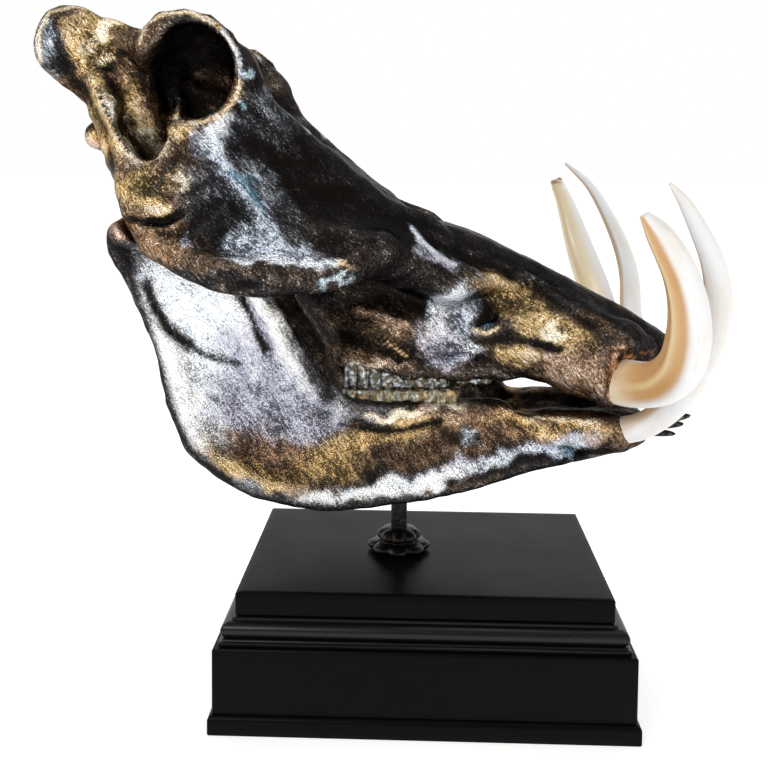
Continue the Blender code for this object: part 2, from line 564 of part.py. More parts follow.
def piece(name, vertices, faces, material, smooth=True):
    """A named object from vertices in millimetres."""
    mesh = bpy.data.meshes.new(name)
    mesh.from_pydata((np.array(vertices, float) * MM).tolist(), [], [tuple(map(int, f)) for f in faces])
    outward = bmesh.new()
    outward.from_mesh(mesh)
    bmesh.ops.recalc_face_normals(outward, faces=outward.faces)
    outward.to_mesh(mesh)
    outward.free()
    mesh.polygons.foreach_set("use_smooth", [smooth] * len(mesh.polygons))
    made = bpy.data.objects.new(name, mesh)
    MAIN.objects.link(made)
    mesh.materials.append(surface(material))
    return made


def set_aside(made):
    """Moves a closed form to the cutters, so that it only takes material away."""
    MAIN.objects.unlink(made)
    CUTTERS.objects.link(made)
    made.hide_render = True
    made.display_type = "WIRE"
    return made


def cutter(name, vertices, faces):
    """A closed form that only takes material away."""
    return set_aside(piece(name, vertices, faces, "dark_metal"))


def cut(target, tool):
    """A socket of the tool's shape in the target."""
    hole = target.modifiers.new("socket " + tool.name, "BOOLEAN")
    hole.operation = "DIFFERENCE"
    hole.solver = "EXACT"
    hole.object = tool


def tube(rings):
    """A closed skin through equal rings of points, with a fan over each end."""
    rings = np.array(rings, float)
    rows, n = rings.shape[:2]
    vertices = np.concatenate([rings.reshape(-1, 3), rings[0].mean(0)[None], rings[-1].mean(0)[None]])
    faces = []
    for row in range(rows - 1):
        for k in range(n):
            a, b = row * n + k, row * n + (k + 1) % n
            faces.append((a, b, b + n, a + n))
    last = (rows - 1) * n
    for k in range(n):
        faces.append((rows * n, (k + 1) % n, k))
        faces.append((rows * n + 1, last + k, last + (k + 1) % n))
    return vertices, faces


def horn(stations, normal, side, steps, around, spare=0.0, until=None):
    """An oval section carried along a curve through the stations; side is -1 for the right."""
    given = np.array(stations, float)
    last = len(given) - 1 if until is None else until
    path = spline(np.column_stack([np.arange(len(given)), given]), np.linspace(0, last, steps))
    centre = path[:, :3] * (1, side, 1)
    ahead = np.gradient(centre, axis=0)
    ahead /= np.linalg.norm(ahead, axis=1)[:, None]
    flat = np.array(normal) * (1, -side, 1)
    across = flat - (ahead @ flat)[:, None] * ahead
    across /= np.linalg.norm(across, axis=1)[:, None]
    inward = np.cross(across, ahead)
    angle = 2 * math.pi * np.arange(around) / around
    wide, thick = path[:, 3] + spare, path[:, 4] + spare
    if spare:
        centre[0] -= ahead[0] * spare
    return tube(
        centre[:, None]
        + inward[:, None] * (wide[:, None] * np.cos(angle))[..., None]
        + across[:, None] * (thick[:, None] * np.sin(angle))[..., None]
    )


def tooth(spec, side, spare=0.0):
    """A block with ribbed cheeks that follows the row from rear to front."""
    rear, front, y_rear, y_front, bottom, top, half, ribs = spec
    columns = 2 * ribs + 1
    share = np.linspace(0, 1, columns)
    along = rear - spare + (front - rear + 2 * spare) * share
    middle = y_rear + (y_front - y_rear) * share
    ends = np.minimum(1, np.sqrt(np.clip(4 * np.minimum(share, 1 - share) * ribs / 2 + 0.35, 0, 1)))
    width = half * ends * (1 + 0.07 * np.cos(2 * math.pi * ribs * share)) + spare
    outer = np.column_stack([along, middle + width])
    inner = np.column_stack([along, middle - width])[::-1]
    ring = np.concatenate([outer, inner])[::-1]
    pivot = ring.mean(0)
    rings = []
    for level, size in ((bottom - spare, 0.985), (bottom + 2.0, 1.0), (top - 2.0, 1.0), (top + spare, 0.985)):
        bent = pivot + (ring - pivot) * size
        rings.append(np.column_stack([bent[:, 0], bent[:, 1] * side, np.full(len(ring), level)]))
    if side < 0:
        rings = [r[::-1] for r in rings]
    return tube(rings)


def peg(root, tip, radius, side, spare=0.0, whole=True):
    """A blunt tapered peg from root to tip."""
    share = np.array([0, 0.35, 0.75, 0.93, 1.0] if whole else [0, 0.4, 0.8])
    size = np.interp(share, [0, 0.35, 0.75, 0.93, 1], [1, 1, 0.78, 0.55, 0.2]) * radius + spare
    start, end = np.array(root, float) * (1, side, 1), np.array(tip, float) * (1, side, 1)
    ahead = (end - start) / np.linalg.norm(end - start)
    start = start - ahead * spare
    across = np.cross(ahead, (0, 0, 1))
    across /= np.linalg.norm(across)
    up = np.cross(across, ahead)
    angle = 2 * math.pi * np.arange(8) / 8
    centre = start + (end - start) * share[:, None]
    return tube(
        centre[:, None]
        + across * (size[:, None] * np.cos(angle))[..., None]
        + up * (size[:, None] * np.sin(angle))[..., None]
    )


def board(name, half, rows, material="black_wood"):
    """A rectangular board: rows of (outset, level) from its underside to its top."""
    rings = []
    for outset, level in rows:
        x, y = half[0] + outset, half[1] + outset
        rings.append([(-x, -y, level), (x, -y, level), (x, y, level), (-x, y, level)])
    return piece(name, *tube(rings), material, smooth=False)


def arc_rows(outset, level, radius, start, end, steps):
    """Points of a rounded edge as (outset, level), angles in degrees from the horizontal."""
    angles = np.radians(np.linspace(start, end, steps))
    return [(outset + radius * math.cos(a), level + radius * math.sin(a)) for a in angles]


def plinth():
    """Foot board, body block, moulding and top board."""
    lip = 3.2  # radius of the foot's rounded upper edge
    board("plinth_foot", FOOT_HALF, [(-0.6, 0), (0, 0.6)]
          + arc_rows(-lip, FOOT_TOP - GAP - lip, lip, 0, 90, 4))
    board("plinth_body", BODY_HALF, [(-0.5, FOOT_TOP), (-0.5, BODY_TOP - 1.1 - GAP), (-1.3, BODY_TOP - GAP)])
    base = BODY_TOP
    board("plinth_moulding", (BODY_HALF[0] - 3.4, BODY_HALF[1] - 3.4), [
        (0, base), (0.2, base + 1.6), (-1.4, base + 2.4), (-1.6, base + 3.2),
        *arc_rows(-5.2, base + 7.4, 4.4, -62, 78, 6),
        (-6.2, base + 11.9), (-6.2, base + 13.5 - GAP),
    ])
    board("plinth_top", TOP_HALF, [
        (-0.5, MOULDING_TOP), (0, MOULDING_TOP + 0.5), (0, PLINTH_TOP - 1.0), (-1.0, PLINTH_TOP),
    ])


def rod_piece(name, radius, low, high, around, material):
    """An upright round rod on the post's axis."""
    with_mesh = bmesh.new()
    size = {"radius1": radius * MM, "radius2": radius * MM, "depth": (high - low) * MM}
    bmesh.ops.create_cone(with_mesh, cap_ends=True, segments=around, **size)
    bmesh.ops.translate(with_mesh, verts=with_mesh.verts, vec=(POST_X * MM, 0, (low + high) / 2 * MM))
    mesh = bpy.data.meshes.new(name)
    with_mesh.to_mesh(mesh)
    with_mesh.free()
    for face in mesh.polygons:
        face.use_smooth = len(face.vertices) == 4
    made = bpy.data.objects.new(name, mesh)
    MAIN.objects.link(made)
    mesh.materials.append(surface(material))
    return made


def collar():
    """Two tiers of petals around the post's foot, a wavy turned form with the post's bore."""
    around = COLLAR_PETALS * 4
    angle = 2 * math.pi * np.arange(around) / around
    petal = np.abs(np.cos(angle * COLLAR_PETALS / 2))
    low = PLINTH_TOP + GAP
    bore = POST_RADIUS + GAP
    rows = [  # radius, height over the plinth, depth of the petals
        (bore, 0.0, 0.0), (15.0, 0.0, 2.4), (18.6, 2.2, 3.0), (16.6, 4.6, 2.6), (11.4, 5.8, 1.2),
        (13.2, 8.2, 2.2), (11.6, 11.0, 2.0), (7.6, 12.6, 0.4), (bore, 13.0, 0.0),
    ]
    rings = []
    for radius, height, depth in rows:
        r = radius - depth * (1 - petal)
        level = np.full(around, low + height)
        rings.append(np.column_stack([POST_X + r * np.cos(angle), r * np.sin(angle), level]))
    rings = np.array(rings)
    n, count = around, len(rows)
    faces = []
    for row in range(count):
        above = (row + 1) % count
        for k in range(n):
            ahead = (k + 1) % n
            faces.append((row * n + k, row * n + ahead, above * n + ahead, above * n + k))
    piece("post_collar", rings.reshape(-1, 3), faces, "dark_metal")


def bone(name, form, low, high, wanted):
    """A contoured bone, softened and thinned out to a wanted number of faces."""
    vertices, faces = bone_mesh(form, low, high)
    made = piece(name, vertices, faces, "metallic_bone")
    soften = made.modifiers.new("soften", "SMOOTH")
    soften.factor = 0.5
    soften.iterations = 3
    thin = made.modifiers.new("fewer faces", "DECIMATE")
    thin.ratio = wanted / (2 * len(faces))
    return made


def teeth_and_tusks(head, jaw):
    """Tusks, cheek teeth and incisors of both sides with their seats in the bones."""
    for side, label in ((-1, "right"), (1, "left")):
        upper = UPPER_TUSK_RIGHT if side < 0 else UPPER_TUSK_LEFT
        lower = LOWER_TUSK_RIGHT if side < 0 else LOWER_TUSK_LEFT
        piece(f"upper_tusk_{label}", *horn(upper, TUSK_PLANE, side, 13, 9), "ivory")
        piece(f"lower_tusk_{label}", *horn(lower, TUSK_PLANE, side, 13, 7), "ivory")
        cut(head, cutter(f"upper_socket_{label}", *horn(upper, TUSK_PLANE, side, 7, 9, GAP + 0.4, 3.5)))
        cut(jaw, cutter(f"lower_socket_{label}", *horn(lower, TUSK_PLANE, side, 8, 7, GAP + 0.4, 5)))
        for name, spec, bone_piece in (
            ("upper_molar", UPPER_MOLAR, head),
            ("upper_premolar", UPPER_PREMOLAR, head),
            ("lower_molar", LOWER_MOLAR, jaw),
        ):
            piece(f"{name}_{label}", *tooth(spec, side), "dark_enamel")
            cut(bone_piece, cutter(f"{name}_seat_{label}", *tooth(spec, side, GAP + 0.1)))
        for number, (root, tip, radius) in enumerate(INCISORS, 1):
            piece(f"lower_incisor_{label}_{number}", *peg(root, tip, radius, side), "dark_enamel")
            cut(jaw, cutter(f"peg_seat_{label}_{number}", *peg(root, tip, radius, side, GAP + 0.1, False)))


def main():
    plinth()
    rod_piece("post", POST_RADIUS, PLINTH_TOP + GAP, POST_END, 24, "dark_metal")
    collar()
    head = bone("cranium", cranium, (-219, 0, 160), (165, 126, 394), CRANIUM_FACES)
    jaw = bone("mandible", mandible, (-180, 0, 104), (142, 108, 284), MANDIBLE_FACES)
    hole = rod_piece("post_seat", POST_RADIUS + GAP, POST_END - 30, POST_END + GAP, 24, "dark_metal")
    cut(head, set_aside(hole))
    teeth_and_tusks(head, jaw)


MAIN, CUTTERS = fresh_scene()
main()
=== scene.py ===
"""Dressed warthog skull on its plinth.

Lengths are worked out in millimetres in the frame of the solids (+X snout, +Z up, -Y the right side)
and stored in metres. Areas and lines of colour, which also paint highlights, reflections and shade
into the coat, and the relief are drawn in the side view, in its pixels.
"""
import math

import bpy
import numpy as np
from mathutils import Matrix, Vector


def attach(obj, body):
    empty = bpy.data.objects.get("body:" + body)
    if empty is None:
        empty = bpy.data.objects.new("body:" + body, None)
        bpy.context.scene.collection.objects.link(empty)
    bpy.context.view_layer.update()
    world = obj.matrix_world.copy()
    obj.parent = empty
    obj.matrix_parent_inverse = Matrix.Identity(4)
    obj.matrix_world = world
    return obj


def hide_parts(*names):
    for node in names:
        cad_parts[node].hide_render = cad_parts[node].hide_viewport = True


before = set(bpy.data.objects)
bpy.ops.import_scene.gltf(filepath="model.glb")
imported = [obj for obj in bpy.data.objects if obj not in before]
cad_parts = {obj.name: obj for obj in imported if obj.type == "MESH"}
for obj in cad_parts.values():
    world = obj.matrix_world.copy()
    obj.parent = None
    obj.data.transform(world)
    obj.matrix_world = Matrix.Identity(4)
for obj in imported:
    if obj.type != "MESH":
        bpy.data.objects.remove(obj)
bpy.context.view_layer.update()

MM = 0.001

# Contouring of the bones
CRANIUM_CELL, MANDIBLE_CELL = 1.8, 1.6  # spacing of the samples
PINCH_FILL = 0.3  # depth given to a sample that closes a pinch
EVENING_ROUNDS, EVENING_SHARE = 4, 0.6  # share: how far a vertex moves to its neighbours' mean
SMOOTHING_ROUNDS, SMOOTHING_SHARE = 2, 0.4
NORMAL_ROUNDS, HOLLOW_ROUNDS = 3, 4
FLATTEST = 0.25  # least slope reckoned with when a vertex is moved back to the zero level
FARTHEST = 0.5  # most cells that it is moved

# Viewpoint of the side view: the eye, its turns in radians, and the picture in pixels
EYE = (-6.7, -595.0, 299.5)
EYE_YAW, EYE_ROLL = 0.0298, 0.011
FOCAL, IMAGE = 1000.0, 768.0
CENTRE_X, CENTRE_Y = 387.0, 167.0

# The camera stands close to that viewpoint and looks a little down, which needs less shift
CAMERA_PLACE = (-5.0, -596.6, 295.5)
CAMERA_YAW, CAMERA_DIP, CAMERA_ROLL = 0.0313, 0.0589, 0.0088
CAMERA_FOCAL = 1016.9
CAMERA_RISE = 150.0  # of the optical axis above the middle of the frame, in pixels

# Stand: half lengths and half widths of the boards, their upper levels, the post and its collar
FOOT_HALF = (113.75, 82.0)
BODY_HALF = (112.0, 80.5)
TOP_HALF = (101.0, 69.375)
FOOT_TOP, BODY_TOP, MOULDING_TOP, PLINTH_TOP = 10.8, 46.0, 59.5, 72.0
POST_X, POST_RADIUS, POST_END = -15.0, 4.75, 202.0
GAP = 0.3  # between pieces that sit on or in each other
COLLAR_PETALS, COLLAR_BORE, COLLAR_HEIGHT = 8, POST_RADIUS + GAP, 13.0
# Collar from its foot to its top: (number, radius, height, depth of the petals)
COLLAR = [
    (0, COLLAR_BORE, 0.0, 0.0), (1, 15.0, 0.0, 2.4), (2, 18.6, 2.2, 3.0), (3, 16.6, 4.6, 2.6),
    (4, 11.4, 5.8, 1.2), (5, 13.2, 8.2, 2.2), (6, 11.6, 11.0, 2.0), (7, 7.6, 12.6, 0.4),
    (8, COLLAR_BORE, COLLAR_HEIGHT, 0.0),
]
COLLAR_STEPS, PETAL_STEPS = 6, 16  # rings between two rows, and points around each petal
POST_AROUND, POST_MIDDLE = 48, 120.0  # points around the post, and the level of its middle ring
BOARD_CORNER, CORNER_STEPS = 1.1, 5  # radius of the boards' upright corners, and points around each
SHARP_ANGLE = math.radians(35)  # edges of the stand that are steeper than this stay sharp

# Tusks from root to tip: (x, distance from the midplane, z, half width, half thickness)
UPPER_ROOT = [(86, 45, 189, 12.5, 10.5), (97, 52, 187, 13.5, 11), (108, 61, 186, 13.5, 11)]
UPPER_TUSK_RIGHT = [
    *UPPER_ROOT,
    (118, 80, 190.5, 12.2, 10), (122.5, 102, 203, 11.5, 9.2), (122.2, 118, 220, 11, 8.4),
    (119, 128, 236, 10, 7.5), (113.6, 136, 249.5, 9, 6.5), (107, 142, 261, 8.2, 5.9),
    (100.2, 146, 271, 6.4, 4.6), (93.8, 148, 278.5, 2.6, 2.2),
]
UPPER_TUSK_LEFT = [
    *UPPER_ROOT,
    (118, 81, 190, 12.4, 10.5), (121, 104, 201, 12.4, 10.5), (119, 121, 216, 12.4, 10),
    (114, 133, 233, 12, 9.4), (109, 141, 250, 10.8, 8), (102, 146, 273, 7.8, 6),
    (96, 148, 288, 5.6, 4.5), (94, 148.3, 293, 4.0, 3.2),
]
LOWER_ROOT = [
    (86, 31.5, 153, 6.5, 6.5), (96, 34.5, 153.4, 7.6, 7.2), (106, 38, 155, 7.6, 7.2),
    (119, 44.5, 160, 7.5, 7),
]
LOWER_TUSK_RIGHT = [
    *LOWER_ROOT, (131.5, 57, 174.5, 7.5, 6.6), (138.8, 73, 195, 7.5, 6.4),
    (141.8, 90, 216.5, 7.3, 6.2), (139.5, 105, 237, 6.8, 5.6), (132.8, 117, 255.5, 5.8, 4.8),
    (123.5, 126, 271.5, 4.5, 4), (115.5, 131, 283.7, 3, 2.8), (108, 134, 292.5, 0.9, 0.9),
]
LOWER_TUSK_LEFT = [
    *LOWER_ROOT, (131, 58, 172.5, 7.6, 6.8), (138, 78, 189, 7.8, 6.6),
    (140, 98, 206.5, 7.8, 6.4), (141.4, 112, 226, 7.6, 5.8), (137.5, 122, 246, 6.4, 5.2),
    (128, 129.5, 269, 5, 4), (116, 134, 289, 3.4, 2.8), (99, 135, 304.5, 0.9, 0.9),
]
TUSK_PLANE = (0.52, 0.61, 0.46)  # normal of the plane that a tusk curves in, on the left side
TUSK_STEPS, UPPER_AROUND, LOWER_AROUND = 130, 64, 48  # rings along a tusk and points around each

# Angles around a tusk in radians, 0 on the concave side: middle, half width, softness of the border
TAN_FACE = (-0.75, 1.12, 0.22)
STAINED_FACE = (0.2, 1.0, 0.5)
TAN_EDGE = (-0.35, 0.55, 0.25)
TAN_ROOT = (-0.4, 0.9, 0.4)
# The same for what falls off as a bell curve: middle, width
NEAR_GROOVE, FAR_GROOVE = (-0.55, 0.30), (-1.55, 0.30)
PALE_RIDGE = (-1.08, 0.17)

# Cheek teeth: (rear x, front x, rear y, front y, bottom z, top z, half width, ribs)
BITE_Z = 178.3
TOOTH_STEPS, TOOTH_LEVELS = 12, 14  # points along each rib, and rings up a tooth
UPPER_MOLAR = (-45.0, 13.0, 45.0, 39.0, BITE_Z + 0.3, 194.0, 7.0, 9)
UPPER_PREMOLAR = (15.5, 36.0, 38.5, 36.0, BITE_Z + 2.2, 194.0, 5.0, 3)
LOWER_MOLAR = (-46.0, 19.0, 46.0, 39.5, 163.5, BITE_Z - 0.3, 6.5, 9)

# Lower incisors, from the middle outwards: root and tip (x, y, z), root radius
INCISORS = [
    ((121.0, 4.6, 151.0), (155.0, 5.5, 156.6), 3.0),
    ((117.0, 11.3, 151.0), (149.0, 13.2, 153.4), 2.9),
    ((112.0, 17.4, 150.5), (142.5, 21.0, 149.4), 2.6),
]
PEG_STEPS, PEG_AROUND = 24, 20  # rings along an incisor and points around it

# Forms of the bones, as in the solids
# Skull roof: outline along X and away from the midplane, then its height (x, y, z)
ROOF_PLAN = [
    (-30, -30), (-30, 34), (-52, 44), (-72, 56), (-90, 69), (-106, 77), (-124, 79), (-140, 76),
    (-151, 68), (-155, 58), (-157, 48), (-164, 41), (-174, 42), (-184, 49), (-194, 56), (-200, 54),
    (-200, 38), (-198, 20), (-197, 0), (-198, -38),
]
ROOF_TOP = [
    (-30, 0, 289), (-50, 0, 304), (-64, 0, 313), (-80, 0, 324), (-95, 0, 333), (-110, 0, 343),
    (-125, 0, 351), (-140, 0, 358), (-160, 0, 364), (-180, 0, 368), (-200, 0, 372), (-48, 38, 295),
    (-60, 44, 305), (-72, 50, 317), (-85, 56, 336), (-97, 63, 359.5), (-104, 70, 366), (-88, 42, 330),
    (-112, 72, 371.5), (-124, 74, 376.5), (-137, 72, 375), (-147, 66, 370), (-151, 58, 364),
    (-112, 56, 370), (-124, 58, 375), (-136, 58, 374), (-148, 56, 366), (-112, 40, 354),
    (-126, 40, 361), (-142, 40, 364), (-160, 38, 367), (-178, 40, 376), (-190, 48, 381),
    (-200, 54, 380), (-207, 58, 372), (-190, 24, 373), (-170, 20, 367), (-112, 20, 346),
    (-126, 20, 354), (-90, 25, 333), (-90, -25, 333), (-112, -20, 346), (-126, -20, 354),
    (-170, -20, 367), (-190, -24, 373), (-50, -28, 302), (-64, -34, 312),
]
ROOF_DEPTH = 13.0

# Sections of snout and braincase: (x, top, bottom, half width at top, half width at bottom, corner radius)
FACE = [
    (-100, 326, 262, 26, 16, 12), (-84, 322, 240, 34, 22, 14), (-66, 312, 212, 38, 34, 18),
    (-50, 304, 196, 39, 41, 20), (-30, 288, 190, 38, 42, 20), (-5, 272, 189, 36, 40, 20),
    (22, 264, 188, 34, 36, 20), (50, 251.5, 183, 32, 33, 19), (75, 239.5, 175.5, 30, 32, 17),
    (95, 229, 172, 28, 30, 15), (112, 220.5, 171, 25, 27, 13), (128, 211, 173, 21, 23, 11),
    (142, 202, 177, 15, 19, 8), (152, 194, 179, 11, 16, 6),
]
CASE = [
    (-200, 368, 312, 40, 16, 12), (-186, 368, 303, 38, 22, 13), (-172, 364, 291, 34, 30, 15),
    (-150, 358, 284, 33, 33, 18), (-130, 352, 284, 34, 30, 18), (-110, 344, 280, 34, 26, 16),
    (-90, 334, 270, 30, 22, 14), (-76, 326, 262, 30, 22, 14),
]

# Cheek arch: outline along X and Z, then the distance of its middle from the midplane (x, z, y)
ARCH = [
    (-155, 283), (-151, 270), (-144, 258), (-134, 252), (-122, 246.5), (-113, 241.5), (-97, 237),
    (-82, 236), (-66, 237.5), (-49, 238.5), (-38, 241), (-28, 247), (-14, 250), (4, 250), (14, 258),
    (4, 272), (-20, 280), (-44, 296), (-62, 313), (-80, 331), (-92, 345), (-98, 340), (-109, 324),
    (-121, 320), (-133, 322), (-134.5, 311), (-138, 303), (-145, 299), (-153, 295),
]
ARCH_MID = [
    (-155, 282, 89), (-146, 258, 94), (-126, 248, 103), (-97, 240, 106), (-66, 240, 102),
    (-45, 242, 92), (-30, 250, 76), (-24, 258, 62), (0, 262, 37), (-20, 280, 42), (-40, 296, 47),
    (-60, 316, 52), (-80, 336, 61), (-92, 346, 67), (-50, 280, 62), (-70, 300, 66), (-90, 320, 71),
    (-110, 318, 76), (-136, 314, 82), (-150, 300, 87), (-125, 285, 92), (-95, 280, 88), (-70, 270, 84),
    (-45, 262, 78),
]
ARCH_HALF = 5.0
ARCH_LIP = [
    (-135, 97, 260, 7), (-120, 104, 252, 7), (-98, 107, 246.5, 8), (-78, 105, 244.5, 8),
    (-56, 98, 244, 7), (-38, 87, 248, 7), (-24, 72, 256, 7),
]

# Nuchal fan across the back of the head: outline along Y and Z, its middle (y, z, x) and half thickness
FAN = [
    (0, 374), (18, 376), (38, 382), (52, 383), (61, 377), (64, 365), (61, 352), (55, 340), (50, 328),
    (46, 317), (38, 304), (20, 298), (0, 296), (-20, 298), (-30, 340), (-20, 374),
]
FAN_MID = [
    (0, 374, -192), (40, 381, -192), (56, 378, -194), (62, 365, -196), (60, 352, -195), (52, 340, -186),
    (50, 322, -167), (0, 340, -184), (0, 318, -178), (30, 350, -187), (30, 320, -173), (-20, 340, -186),
]
FAN_HALF = [
    (0, 374, 7), (40, 381, 10), (60, 370, 14), (60, 352, 14), (52, 336, 10), (50, 318, 9), (0, 340, 7),
    (30, 350, 6), (0, 315, 9), (-30, 340, 7),
]

# Bars of bone: (x, y, z, radius)
NUCHAL_EDGE = [(-190, 52, 372, 10), (-172, 50, 368, 9), (-156, 52, 363, 8), (-148, 60, 362, 6)]
EYE_BAR = [(-149, 58, 362, 5), (-148, 46, 346, 6), (-146, 36, 325, 7)]
TEMPORAL_RIDGE = [
    (-181, 54, 351, 7.5), (-169, 64, 331, 6), (-158, 77, 311, 5.5), (-150, 86, 293, 8),
    (-144, 89, 278, 9),
]
JOINT_ROOT = [(-163, 38, 307, 12), (-154, 60, 296, 12), (-147, 82, 284, 10.5)]
EYE_FLOOR = [
    (-133, 78, 317.5, 4.5), (-121, 77, 317.5, 5.5), (-108, 75, 324.5, 5), (-98, 72, 336, 5),
    (-95, 70, 350, 5),
]
CHEEK_ROOT = [(-40, 74, 256, 12), (-14, 52, 248, 13), (14, 40, 236, 12), (44, 34, 224, 10)]
BROW_SIDE = [(-88, 58, 314, 12), (-66, 48, 293, 13.5), (-44, 38, 278, 14)]
BROW = [(-84, 48, 317, 13), (-60, 42, 295, 13), (-34, 36, 272, 13), (-6, 32, 257, 12)]
TOOTH_RIDGE = [(-44, 44, 197, 8), (-10, 43, 190, 8), (20, 39, 189, 7.5), (40, 36, 189, 7)]
EYE_RIM = [
    (-145, 56, 352, 2.9), (-149, 61, 359, 2.9), (-147, 67, 369, 2.9), (-139, 71.5, 375.3, 2.9),
    (-126.5, 73.5, 376.4, 2.9), (-114, 73, 373.2, 2.9), (-103.5, 71, 365.3, 2.9),
    (-98.6, 70.5, 353.5, 2.9), (-98.4, 71, 342, 2.9), (-101.5, 73, 332, 2.9),
]
TEMPLE = [
    (-148, 72, 336, 8), (-146, 68, 322, 14), (-133, 64, 300, 17), (-112, 62, 285, 17),
    (-90, 66, 270, 17), (-70, 68, 262, 13),
]
TEMPLE_EXIT = [(-118, 64, 262, 20), (-96, 66, 250, 22), (-74, 66, 236, 20), (-58, 66, 216, 16)]
TEMPLE_BACK = [(-184, 44, 348, 7), (-175, 54, 328, 6.5), (-166, 62, 310, 7), (-158, 66, 297, 8)]
CASE_SIDE = [(-176, 46, 357, 12), (-168, 46, 344, 13), (-160, 43, 330, 13.5), (-152, 40, 314, 12)]
SHEATH = [
    (34, 30, 208, 15), (60, 35, 202, 17.5), (82, 43, 195.5, 18), (100, 54, 191, 17.5),
    (116, 64, 189, 17.5),
]
SHEATH_TOP = [(36, 30, 224, 13), (78, 34, 213, 15), (106, 40, 204, 13), (120, 38, 198, 10)]
SOCKET_MOUTH = (104, 57, 188)  # a point of the plane in which the upper tusk's socket opens
PREMAXILLA = [(92, 26, 184, 12), (118, 21, 180, 10), (140, 14, 180, 8), (149, 9, 181, 6.5)]
NOSE = [(92, 3, 194, 13), (120, 3, 192, 11.5), (150, 1, 191, 9), (172, 0, 190, 9)]
EAR_PROCESS = [(-166, 40, 300, 9), (-160, 43, 280, 7), (-154, 45, 262, 4.5)]
PTERYGOID = [(-108, 20, 280, 8), (-84, 21, 250, 6), (-64, 23, 220, 6), (-52, 27, 202, 6)]

# Half of the lower jaw: outline along X and Z, its middle's distance from the midplane and half thickness
JAW = [
    (-165, 264), (-160, 250), (-149, 232), (-141, 212), (-137, 197), (-134, 182), (-131, 167),
    (-126, 153), (-119, 143), (-108, 134.5), (-96, 127.5), (-82, 122), (-69, 119), (-54, 116),
    (-40, 115), (-15, 117), (8, 119), (35, 124), (58, 130), (86, 135.5), (104, 138.5), (116, 142),
    (112, 156), (98, 161), (80, 161), (60, 162.5), (48, 163.5), (38, 166), (20, 168), (-20, 168),
    (-48, 168), (-55, 178), (-64, 193), (-72, 206), (-79, 220), (-86, 234), (-93, 248), (-101, 256),
    (-112, 252), (-124, 248), (-136, 256), (-145, 266), (-156, 270),
]
JAW_MID = [
    (-166, 262, 78), (-150, 265, 78), (-96, 250, 76), (-80, 225, 73), (-60, 190, 64), (-150, 220, 75),
    (-142, 190, 72), (-136, 160, 70), (-118, 138, 69), (-120, 200, 69), (-95, 160, 62), (-88, 124, 66),
    (-54, 116, 60), (-46, 168, 51), (-20, 169, 46), (-20, 118, 53), (20, 169, 39), (20, 123, 43),
    (50, 166, 31), (50, 131, 33), (85, 163, 27), (85, 140, 26), (114, 145, 20),
]
JAW_HALF = [
    (-166, 262, 6), (-150, 265, 8), (-96, 250, 4.5), (-80, 225, 6), (-60, 190, 9), (-150, 220, 8),
    (-142, 190, 6.5), (-136, 160, 6), (-118, 138, 6.5), (-118, 200, 4.5), (-95, 160, 6),
    (-88, 124, 6.5), (-54, 116, 7.5), (-46, 168, 12), (-20, 169, 12), (-30, 140, 9), (-20, 118, 8),
    (20, 169, 10), (20, 140, 8.5), (20, 123, 8), (50, 166, 9), (50, 131, 9), (85, 163, 10),
    (85, 140, 9), (114, 145, 8),
]
JAW_EDGE = [
    (-158, 77, 255, 6), (-145, 76, 230, 7), (-135.5, 74, 205, 6), (-131, 72, 175, 5.5),
    (-121, 71, 154, 6), (-106, 70, 141.5, 6.5), (-85, 67, 129.5, 6.5), (-56, 61, 122.5, 6.5),
]
JAW_SHOULDER = [(-46, 52, 165, 9), (-14, 46, 163, 9), (16, 40, 163, 8.5), (40, 34, 163, 8)]
BRANCH_FRONT = [
    (-90, 76, 240, 4.5), (-80, 74, 222, 5.5), (-70, 70, 202, 6), (-60, 64, 185, 6.5),
    (-46, 58, 168, 8.5),
]
# Front of the jaw, in sections like the snout's
CHIN = [
    (34, 156, 140, 16, 14, 8), (52, 159, 133, 26, 20, 10), (70, 160, 134, 32, 24, 11),
    (90, 161, 136, 35, 25, 11), (106, 161, 137.5, 30, 23, 10), (120, 160, 139.5, 22, 19, 8),
    (131, 157, 143.5, 18, 15, 6),
]
# Sheath of the lower tusk, and the room kept between the jaw and the cranium
LOWER_SHEATH = [(72, 30, 152, 11.5), (92, 35, 152.5, 11.5), (103, 37, 153, 11)]
JOINT_GAP = 2.2


def blend(a, b, k):
    """Union of two distance fields, rounded over a width k."""
    h = np.clip(0.5 + 0.5 * (b - a) / k, 0, 1)
    return b + (a - b) * h - k * h * (1 - h)


def carve(a, b, k):
    """First field with the second taken away, rounded over a width k."""
    return -blend(-a, b, k)


def spline(stations, at):
    """Smooth curve through rows of (position, values), read at an array of positions."""
    s = np.array(stations, float)
    t, v = s[:, 0], s[:, 1:]
    m = np.gradient(v, t, axis=0)
    at = np.clip(at, t[0], t[-1])
    i = np.clip(np.searchsorted(t, at, side="right") - 1, 0, len(t) - 2)
    h = (t[i + 1] - t[i])[..., None]
    u = (at - t[i])[..., None] / h
    start = (2 * u**3 - 3 * u**2 + 1) * v[i] + (u**3 - 2 * u**2 + u) * h * m[i]
    return start + (3 * u**2 - 2 * u**3) * v[i + 1] + (u**3 - u**2) * h * m[i + 1]


def closed_curve(points, per=6):
    """Closed smooth curve through points, with a number of steps between each two."""
    p = np.array(points, float)
    a, b, c, d = (np.roll(p, k, 0)[:, None] for k in (1, 0, -1, -2))
    u = (np.arange(per) / per)[None, :, None]
    q = 0.5 * (2 * b + (c - a) * u + (2 * a - 5 * b + 4 * c - d) * u**2 + (3 * b - a - 3 * c + d) * u**3)
    return q.reshape(-1, 2)


